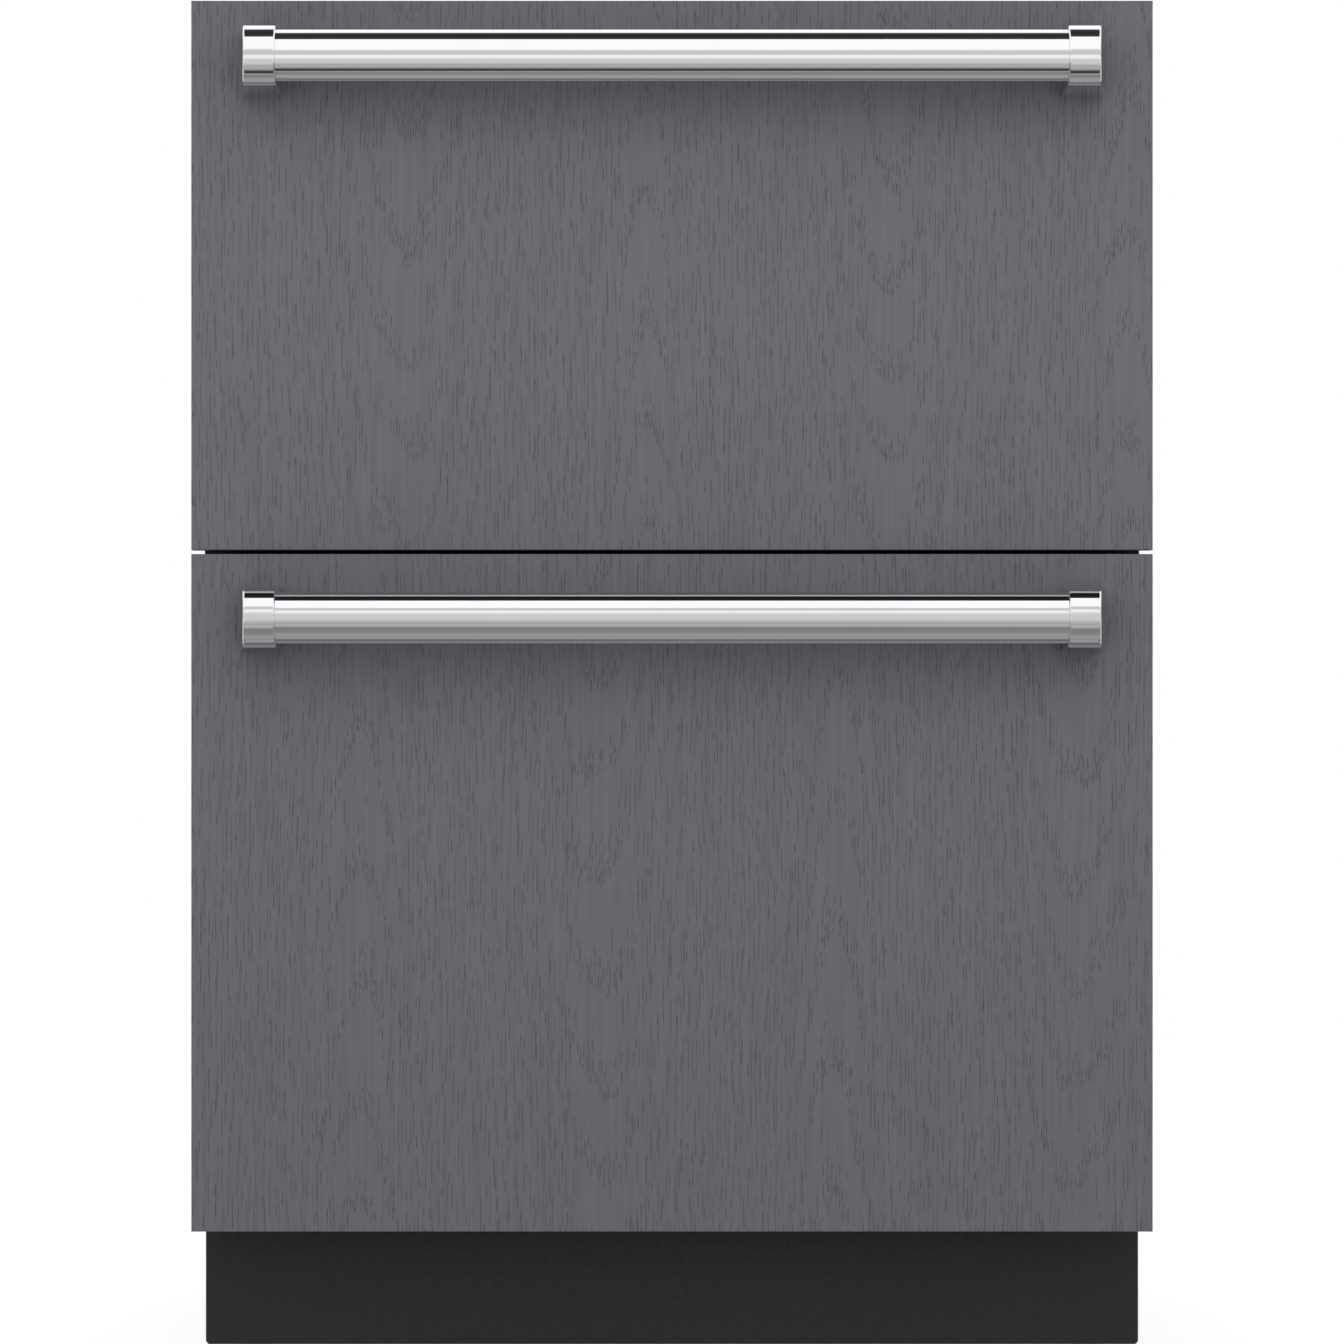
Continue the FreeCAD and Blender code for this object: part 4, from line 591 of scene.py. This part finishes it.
# Shares of a column's spacing, a dash's half width, its pitch, its half length and the full pore depth.
COLUMN_SHIFT = 0.22
DASH_SHIFT = 0.12
SIDE_FADE = (0.2, 1.4)
HALF_LENGTHS = (0.25, 0.5)
END_TAPER = (0.6, 1.0)
CUT_DEPTHS = (0.5, 1.0)
RAGGED_DEPTHS = (0.55, 1.0)
LONG_PORE_DEPTH = 0.85
# Share of a growth ring in which its wide pores begin.
RING_OPENING = 0.05
# Shares of the pores that are there: all over, and more where a ring opens or at the tips of the figure.
LONG_SHARE = 0.5
LONG_EARLY_SHARE = 0.4
RING_SHARE = 0.02
RING_EARLY_SHARE = 0.85
TIP_SHARE = 0.9
# How straight the grain runs where long pores begin and are all there, and where tip pores thin out and end.
LONG_STRAIGHT = (0.10, 0.42)
TIP_STRAIGHT = (0.10, 0.45)
PAINT_ROUGHNESS = (0.46, 0.62)

oak, oak_tree, place = start_material("painted_open_pore_oak")
axes = add_node(oak_tree, "SeparateXYZ", [place])


def growth_at(x, z):
    """How far through its growth ring the wood is at a place, and how straight its grain runs there."""
    # Each panel is two slip-matched leaves. A leaf's rings rise and fall across it, which draws tall
    # arches at one place and tall bowls half a leaf further on, a ring every 66 mm up the middle.
    on_upper = add_node(oak_tree, "Math", [z, PANEL_SPLIT_Z], operation="GREATER_THAN")
    arch_x = add_node(oak_tree, "Math", [on_upper, UPPER_ARCH_X - LOWER_ARCH_X, LOWER_ARCH_X],
                      operation="MULTIPLY_ADD")
    off_arch = add_node(oak_tree, "Math", [x, arch_x], operation="SUBTRACT")
    turn = add_node(oak_tree, "Math", [off_arch, math.tau / LEAF_WIDTH], operation="MULTIPLY")
    arch = add_node(oak_tree, "Math", [turn], operation="COSINE")
    twice = add_node(oak_tree, "Math", [turn, 2.0], operation="MULTIPLY")
    tip = add_node(oak_tree, "Math", [twice], operation="COSINE")
    point = add_node(oak_tree, "Math", [tip, ARCH_POINT], operation="MULTIPLY")
    pointed_arch = add_node(oak_tree, "Math", [arch, point], operation="ADD")
    swing = add_node(oak_tree, "Math", [pointed_arch, -RING_SWING], operation="MULTIPLY")
    spot = add_node(oak_tree, "CombineXYZ", {"X": x, "Z": z})
    laid = add_node(oak_tree, "Mapping", {
        "Vector": spot, "Scale": (1 / WANDER_WIDTH, 1 / WANDER_WIDTH, 1 / WANDER_HEIGHT)})
    wave = add_node(oak_tree, "TexNoise", {"Vector": laid, "Scale": 1.0})
    wander = add_node(oak_tree, "Math", [wave, WANDER_RINGS], operation="MULTIPLY")
    even_rings = add_node(oak_tree, "Math", [z, 1 / RING_RISE, swing], operation="MULTIPLY_ADD")
    rings = add_node(oak_tree, "Math", [even_rings, wander], operation="ADD")
    age = add_node(oak_tree, "Math", [rings], operation="FRACT")
    slant = add_node(oak_tree, "Math", [turn], operation="SINE")
    return age, add_node(oak_tree, "Math", [slant], operation="ABSOLUTE")


# The grain leans a little from side to side on its way up, and runs round the panels' edges into the board.
laid = add_node(oak_tree, "Mapping", {
    "Vector": place, "Scale": (1 / DRIFT_WIDTH, 1 / DRIFT_WIDTH, 1 / DRIFT_HEIGHT)})
wave = add_node(oak_tree, "TexNoise", {"Vector": laid, "Scale": 1.0, "Detail": 1.0})
drift = add_node(oak_tree, "Math", [wave, DRIFT_REACH], operation="MULTIPLY")
panel_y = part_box("lower_panel")[0][1]
into_board = add_node(oak_tree, "Math", [axes.outputs["Y"], panel_y], operation="SUBTRACT")
round_edge = add_node(oak_tree, "Math", [axes.outputs["X"], into_board], operation="ADD")
across = add_node(oak_tree, "Math", [round_edge, drift], operation="ADD")
rag = add_node(oak_tree, "TexNoise", {"Vector": place, "Scale": 1 / RAGGED_SIZE, "Detail": 1.0})
ragged = add_node(oak_tree, "MapRange", [rag, *NOISE_MIDDLE, *RAGGED_DEPTHS])


def pore_columns(spacing, pitch, half_width, share_at):
    """Open pores as dashes end to end in upright columns; share_at says what share of them is there."""
    column_place = add_node(oak_tree, "Math", [across, spacing], operation="DIVIDE")
    column = add_node(oak_tree, "Math", [column_place], operation="FLOOR")
    column_luck = add_node(oak_tree, "TexWhiteNoise", [column], noise_dimensions="1D")
    stagger = add_node(oak_tree, "Math", [column_luck, STAGGER_DASHES], operation="MULTIPLY")
    pitches = add_node(oak_tree, "Math", [axes.outputs["Z"], pitch], operation="DIVIDE")
    dash_place = add_node(oak_tree, "Math", [stagger, pitches], operation="ADD")
    dash = add_node(oak_tree, "Math", [dash_place], operation="FLOOR")
    cell = add_node(oak_tree, "CombineXYZ", [column, dash])
    luck = add_node(oak_tree, "TexWhiteNoise", [cell], noise_dimensions="2D")
    lots = add_node(oak_tree, "SeparateColor", [luck.outputs["Color"]])

    # A dash lies a little to one side of its column, and fades towards its two sides.
    column_shift = add_node(oak_tree, "MapRange", [column_luck, 0.0, 1.0, -COLUMN_SHIFT, COLUMN_SHIFT])
    dash_shift = add_node(oak_tree, "MapRange", [lots.outputs["Blue"], 0.0, 1.0, -DASH_SHIFT, DASH_SHIFT])
    shift = add_node(oak_tree, "Math", [column_shift, dash_shift], operation="ADD")
    centre = add_node(oak_tree, "Math", [shift, 0.5], operation="ADD")
    in_column = add_node(oak_tree, "Math", [column_place], operation="FRACT")
    off_centre = add_node(oak_tree, "Math", [in_column, centre], operation="SUBTRACT")
    sideways = add_node(oak_tree, "Math", [off_centre], operation="ABSOLUTE")
    half_widths = add_node(oak_tree, "Math", [sideways, half_width / spacing], operation="DIVIDE")
    line = add_node(oak_tree, "MapRange", [half_widths, *SIDE_FADE, 1.0, 0.0])

    # It takes up half of its pitch or more, tapers to its ends, and is more or less deep.
    in_dash = add_node(oak_tree, "Math", [dash_place], operation="FRACT")
    off_middle = add_node(oak_tree, "Math", [in_dash, 0.5], operation="SUBTRACT")
    lengthways = add_node(oak_tree, "Math", [off_middle], operation="ABSOLUTE")
    half_length = add_node(oak_tree, "MapRange", [lots.outputs["Red"], 0.0, 1.0, *HALF_LENGTHS])
    half_lengths = add_node(oak_tree, "Math", [lengthways, half_length], operation="DIVIDE")
    taper = add_node(oak_tree, "MapRange", [half_lengths, *END_TAPER, 1.0, 0.0])
    cut = add_node(oak_tree, "MapRange", [lots.outputs["Green"], 0.0, 1.0, *CUT_DEPTHS])
    depth = add_node(oak_tree, "Math", [cut, ragged], operation="MULTIPLY")

    # The whole dash is there or not, by the wood at its middle.
    column_middle = add_node(oak_tree, "Math", [column, 0.5], operation="ADD")
    middle_x = add_node(oak_tree, "Math", [column_middle, spacing], operation="MULTIPLY")
    dash_middle = add_node(oak_tree, "Math", [dash, 0.5], operation="ADD")
    level_middle = add_node(oak_tree, "Math", [dash_middle, stagger], operation="SUBTRACT")
    middle_z = add_node(oak_tree, "Math", [level_middle, pitch], operation="MULTIPLY")
    share = share_at(*growth_at(middle_x, middle_z))
    there = add_node(oak_tree, "Math", [luck, share], operation="LESS_THAN")

    tapered = add_node(oak_tree, "Math", [line, taper], operation="MULTIPLY")
    deep = add_node(oak_tree, "Math", [tapered, depth], operation="MULTIPLY")
    return add_node(oak_tree, "Math", [deep, there], operation="MULTIPLY")


def early_share(age, fade, end):
    """The wide-pored wood that opens each ring: sudden at its start, then fading out."""
    opening = add_node(oak_tree, "MapRange", [age, 0.0, RING_OPENING, 0.0, 1.0])
    fading = add_node(oak_tree, "MapRange", [age, fade, end, 1.0, 0.0])
    return add_node(oak_tree, "Math", [opening, fading], operation="MULTIPLY")


def long_share(age, straight):
    """Long pores: half of them or more where the grain runs straight, most where a ring opens."""
    early = early_share(age, fade=0.3, end=0.8)
    share = add_node(oak_tree, "Math", [early, LONG_EARLY_SHARE, LONG_SHARE], operation="MULTIPLY_ADD")
    in_straight = add_node(oak_tree, "MapRange", [straight, *LONG_STRAIGHT, 0.0, 1.0])
    return add_node(oak_tree, "Math", [share, in_straight], operation="MULTIPLY")


def ring_share(age, straight):
    """Shorter pores: most of them where a ring opens, hardly any elsewhere."""
    early = early_share(age, fade=0.22, end=0.5)
    return add_node(oak_tree, "Math", [early, RING_EARLY_SHARE, RING_SHARE], operation="MULTIPLY_ADD")


def tip_share(age, straight):
    """The shortest pores, crowded together at the tips of the arches and bowls."""
    early = early_share(age, fade=0.08, end=0.3)
    at_tip = add_node(oak_tree, "MapRange", [straight, *TIP_STRAIGHT, TIP_SHARE, 0.0])
    return add_node(oak_tree, "Math", [early, at_tip], operation="MULTIPLY")


long_pores = pore_columns(spacing=0.0026, pitch=0.034, half_width=0.00034, share_at=long_share)
ring_pores = pore_columns(spacing=0.0019, pitch=0.013, half_width=0.00032, share_at=ring_share)
tip_pores = pore_columns(spacing=0.0015, pitch=0.0070, half_width=0.00030, share_at=tip_share)
shallow_pores = add_node(oak_tree, "Math", [long_pores, LONG_PORE_DEPTH], operation="MULTIPLY")
short_pores = add_node(oak_tree, "Math", [ring_pores, tip_pores], operation="MAXIMUM")
pores = add_node(oak_tree, "Math", [shallow_pores, short_pores], operation="MAXIMUM")

# Between the pores the paint shows faint upright streaks. In the pores it is darker and duller.
laid = add_node(oak_tree, "Mapping", {
    "Vector": place, "Scale": (1 / PAINT_STREAK_WIDTH, 1 / PAINT_STREAK_WIDTH, 1 / PAINT_STREAK_LENGTH)})
fibres = add_node(oak_tree, "TexNoise", {"Vector": laid, "Scale": 1.0})
streaks = add_node(oak_tree, "MapRange", [fibres, *NOISE_MIDDLE, 0.0, 1.0])
paint = add_node(oak_tree, "Mix", [streaks, linear_colour("#65646A"), linear_colour("#6C6B71")],
                 data_type="RGBA")
tone = add_node(oak_tree, "Mix", [pores, paint, linear_colour("#3E3D42")], data_type="RGBA")
gloss = add_node(oak_tree, "MapRange", [pores, 0.0, 1.0, *PAINT_ROUGHNESS])
surface = add_node(oak_tree, "Math", [1.0, pores], operation="SUBTRACT")
open_pored = add_node(oak_tree, "Bump", {"Height": surface, "Distance": PORE_DEPTH})
shader = add_node(oak_tree, "BsdfPrincipled", {"Base Color": tone, "Roughness": gloss,
                                               "Specular IOR Level": 0.25, "Normal": open_pored})
add_node(oak_tree, "OutputMaterial", {"Surface": shader})
dress(oak, ["upper_panel", "lower_panel"])

# Handles: a drawn steel tube set into two cast posts, polished and bright chrome plated.
# Mirror finish with the faintest wipe marks along the bar.

WIPE_WIDTH = 0.02
WIPE_LENGTH = 0.08
CHROME_CLOUD = 0.04
CHROME_ROUGHNESS = (0.03, 0.075)
chrome, tree, place = start_material("polished_chrome_plate")
laid = add_node(tree, "Mapping", {
    "Vector": place, "Scale": (1 / WIPE_LENGTH, 1 / WIPE_WIDTH, 1 / WIPE_WIDTH)})
wipes = add_node(tree, "TexNoise", {"Vector": laid, "Scale": 1.0, "Detail": 4.0})
gloss = add_node(tree, "MapRange", [wipes, *NOISE_MIDDLE, *CHROME_ROUGHNESS])
clouds = add_node(tree, "TexNoise", {"Vector": place, "Scale": 1 / CHROME_CLOUD})
tone = add_node(tree, "Mix", [clouds, linear_colour("#E0DEE1"), linear_colour("#E7E5E8")], data_type="RGBA")
shader = add_node(tree, "BsdfPrincipled", {"Base Color": tone, "Metallic": 1.0, "Roughness": gloss})
add_node(tree, "OutputMaterial", {"Surface": shader})
for drawer in ("upper", "lower"):
    dress(chrome, [f"{drawer}_handle_bar", f"{drawer}_handle_posts"])

# Studio floor: matt white paper. Seen directly, most of its white is its own and the rest is the light that
# falls on it, so it runs into the white background and still takes the freezer's shadow.

FLOOR_SIZE = 60.0
FLOOR_DROP = 0.0005
OWN_WHITE = 0.81
FADE_START = 0.9
FADE_END = 2.4
bpy.ops.object.select_all(action="DESELECT")
bpy.ops.mesh.primitive_plane_add(size=FLOOR_SIZE, location=(0, 0, -FLOOR_DROP))
floor = bpy.context.object
floor.name = "studio_floor"
paper, tree, place = start_material("white_studio_paper")
lit = add_node(tree, "BsdfDiffuse", {"Color": linear_colour("#E8E8E8")})
part_lit = add_node(tree, "BsdfDiffuse", {"Color": linear_colour("#9B9B9B")})
own_white = add_node(tree, "Emission", [linear_colour("#FFFFFF"), OWN_WHITE])
bright = add_node(tree, "AddShader", [part_lit, own_white])
plain_white = add_node(tree, "Emission", [linear_colour("#FFFFFF"), 1.0])
away = add_node(tree, "VectorMath", [place], operation="LENGTH")
fade = add_node(tree, "MapRange", [away, FADE_START, FADE_END, 0.0, 1.0])
seen_paper = add_node(tree, "MixShader", [fade, bright, plain_white])
path = add_node(tree, "LightPath")
seen = add_node(tree, "Math", [path.outputs["Is Camera Ray"], path.outputs["Is Glossy Ray"]], operation="ADD")
seen = add_node(tree, "Math", [seen, path.outputs["Is Transmission Ray"]], operation="ADD")
shown = add_node(tree, "MixShader", [seen, lit, seen_paper])
add_node(tree, "OutputMaterial", {"Surface": shown})
floor.data.materials.append(paper)
floor.visible_glossy = False

# Reflection cards: a tent of white and grey card round the front of the handles, which only polished surfaces
# see, and small one-sided cards close to the bars: two dark ones, a thin bright one, and grey ones for the
# undersides of the bars, the upper one tilted so that the lower bar is behind it.

TENT_HALF_LENGTH = 2.0
CARD_HALF_LENGTH = 0.29
THROWN_BACK = 0.15
# The tent's edges as (y, z), from over the bars to under them, and its levels of light as (z, level).
TENT_PROFILE = ((-0.42, 1.075), (-0.88, 1.06), (-0.82, 0.86), (-0.82, 0.70), (-0.88, 0.36), (-0.77, 0.20),
                (-0.57, 0.135), (-0.32, 0.09))
TENT_LEVELS = ((0.105, 0.38), (0.12, 0.28), (0.159, 0.25), (0.185, 0.53), (0.265, 0.46), (0.41, 0.75),
               (0.62, 0.77), (0.70, 1.13), (0.76, 1.14), (0.84, 0.69), (0.97, 0.79), (1.03, 1.26))
# A small card's name, its first and last edge, and its levels, in the same way.
SMALL_CARDS = (
    ("dark_card_below", (-0.37, 0.6205), (-0.413, 0.62), ((0.62, 0.05), (0.6205, 0.05))),
    ("dark_card_above", (-0.335, 0.6205), (-0.288, 0.62), ((0.62, 0.015), (0.6205, 0.015))),
    ("bright_line_card", (-0.2747, 0.632), (-0.2747, 0.594), ((0.594, 0.64), (0.632, 0.64))),
    ("upper_panel_card", (-0.2745, 0.80), (-0.3368, 0.7215),
     ((0.745, 0.27), (0.7565, 0.40), (0.772, 0.41), (0.786, 0.15), (0.7965, 0.29))),
    ("lower_panel_card", (-0.2745, 0.455), (-0.2745, 0.11),
     ((0.28, 0.41), (0.37, 0.18), (0.415, 0.18), (0.43, 0.26))),
)


def grey_steps(tree, value, levels):
    """Greys that change in steps along a value, from (place, level) pairs."""
    first, last = levels[0][0], levels[-1][0]
    share = add_node(tree, "MapRange", [value, first, last, 0.0, 1.0])
    ramp = add_node(tree, "ValToRGB", [share])
    while len(ramp.color_ramp.elements) < len(levels):
        ramp.color_ramp.elements.new(0.5)
    for element, (spot, level) in zip(ramp.color_ramp.elements, levels):
        element.position = (spot - first) / (last - first)
        element.color = (level, level, level, 1.0)
    return ramp


def sight_level(tree):
    """Full level for what metal shows the eye, a low one for what it would throw back on the panels."""
    path = add_node(tree, "LightPath")
    return add_node(tree, "MapRange", [path.outputs["Diffuse Depth"], 0.0, 1.0, 1.0, THROWN_BACK])


def hang_card(name, half_length, profile, levels, one_sided=False):
    """A card bent along a profile of (y, z) places that only polished surfaces see, graded by height."""
    bpy.ops.object.select_all(action="DESELECT")
    bpy.ops.mesh.primitive_plane_add(size=1.0, location=(0, 0, 0))
    hung = bpy.context.object
    hung.name = name
    bpy.ops.object.mode_set(mode="EDIT")
    bpy.ops.mesh.select_mode(type="VERT")
    corners = bmesh.from_edit_mesh(hung.data)
    for corner in corners.verts:
        row = 0 if corner.co.y > 0 else 1
        corner.co = (math.copysign(half_length, corner.co.x), *profile[row])
        corner.select_set(row == 1)
    corners.select_flush_mode()
    bmesh.update_edit_mesh(hung.data)
    for before, after in zip(profile[1:], profile[2:]):
        bpy.ops.mesh.extrude_region_move(
            TRANSFORM_OT_translate={"value": (0.0, after[0] - before[0], after[1] - before[1])})
    bpy.ops.object.mode_set(mode="OBJECT")

    card_paint, tree, place = start_material(name + "_paint")
    height = add_node(tree, "SeparateXYZ", [place]).outputs["Z"]
    shine = add_node(tree, "Emission", [grey_steps(tree, height, levels), sight_level(tree)])
    seen = 1.0
    if one_sided:
        facing = add_node(tree, "NewGeometry")
        seen = add_node(tree, "Math", [1.0, facing.outputs["Backfacing"]], operation="SUBTRACT")
    clear = add_node(tree, "BsdfTransparent")
    shown = add_node(tree, "MixShader", [seen, clear, shine])
    add_node(tree, "OutputMaterial", {"Surface": shown})
    hung.data.materials.append(card_paint)
    hung.visible_camera = False
    hung.visible_diffuse = False
    hung.visible_shadow = False
    hung.visible_transmission = False


hang_card("reflection_tent", TENT_HALF_LENGTH, TENT_PROFILE, TENT_LEVELS)
for name, first, last, levels in SMALL_CARDS:
    hang_card(name, CARD_HALF_LENGTH, (first, last), levels, one_sided=True)

# Lamps: a large soft one in front and above, a weaker one on each side, and one behind for the back panel.
# All are turned to the middle of the freezer, and none is seen, not even in the metal.

AIM_Z = 0.45
LAMPS = (
    # name, place, size, power in watts
    ("key_softbox", (0.0, -2.7, 1.4), 2.0, 20.5),
    ("left_softbox", (-2.6, -1.0, 1.4), 1.6, 10.0),
    ("right_softbox", (2.6, -1.0, 1.4), 1.6, 10.0),
    ("rear_softbox", (0.0, 2.8, 2.0), 2.0, 22.0),
)
for name, spot, size, power in LAMPS:
    lamp = bpy.data.lights.new(name, "AREA")
    lamp.size = size
    lamp.energy = power
    holder = bpy.data.objects.new(name, lamp)
    bpy.context.collection.objects.link(holder)
    holder.location = spot
    aim = holder.location.copy()
    aim.z -= AIM_Z
    holder.rotation_euler = aim.to_track_quat("Z", "Y").to_euler()
    holder.visible_glossy = False
    holder.visible_camera = False

# Background: white to the eye and through lenses, a soft even light on all surfaces.
# Polished metal sees greys by height, from straight down to straight up: (degrees, level).

SOFT_LIGHT = 0.6
REFLECTED_STEPS = (
    (-90, 0.30), (-76, 0.36), (-72, 0.05), (-61, 0.06), (-57, 0.46), (-43, 0.48), (-38, 0.70), (-19, 0.72),
    (-14, 1.15), (-2, 1.15), (2, 0.72), (15, 0.74), (21, 1.25), (64, 1.25), (70, 0.06), (90, 0.02),
)
world = bpy.data.worlds.new("studio_world")
bpy.context.scene.world = world
world.use_nodes = True
tree = world.node_tree
tree.nodes.clear()
outward = add_node(tree, "TexCoord").outputs["Generated"]
height = add_node(tree, "SeparateXYZ", [outward]).outputs["Z"]
lift = add_node(tree, "Math", [height], operation="ARCSINE")
steps = [(math.radians(degrees), level) for degrees, level in REFLECTED_STEPS]
soft = add_node(tree, "Background", [linear_colour("#FFFFFF"), SOFT_LIGHT])
mirrored = add_node(tree, "Background", [grey_steps(tree, lift, steps), sight_level(tree)])
white = add_node(tree, "Background", [linear_colour("#FFFFFF"), 1.0])
path = add_node(tree, "LightPath")
by_metal = add_node(tree, "MixShader", [path.outputs["Is Glossy Ray"], soft, mirrored])
direct = add_node(tree, "Math", [path.outputs["Is Camera Ray"], path.outputs["Is Transmission Ray"]],
                  operation="ADD")
by_eye = add_node(tree, "MixShader", [direct, by_metal, white])
add_node(tree, "OutputWorld", {"Surface": by_eye})

# Camera: 3 m in front of the panels, a little over half-way up the freezer, and looking straight at it.
# The view is as wide at the panels as the photograph shows.

CAMERA_DISTANCE = 3.0
CAMERA_HEIGHT = 0.455
VIEW_WIDTH = 0.8427
SENSOR_WIDTH = 36.0
optics = bpy.data.cameras.new("front_camera")
optics.sensor_width = SENSOR_WIDTH
optics.lens = SENSOR_WIDTH * CAMERA_DISTANCE / VIEW_WIDTH
camera = bpy.data.objects.new("front_camera", optics)
bpy.context.collection.objects.link(camera)
camera.location = (0.0, panel_y - CAMERA_DISTANCE, CAMERA_HEIGHT)
camera.rotation_euler = (math.pi / 2, 0.0, 0.0)
bpy.context.scene.camera = camera
bpy.context.scene.view_settings.view_transform = "Standard"
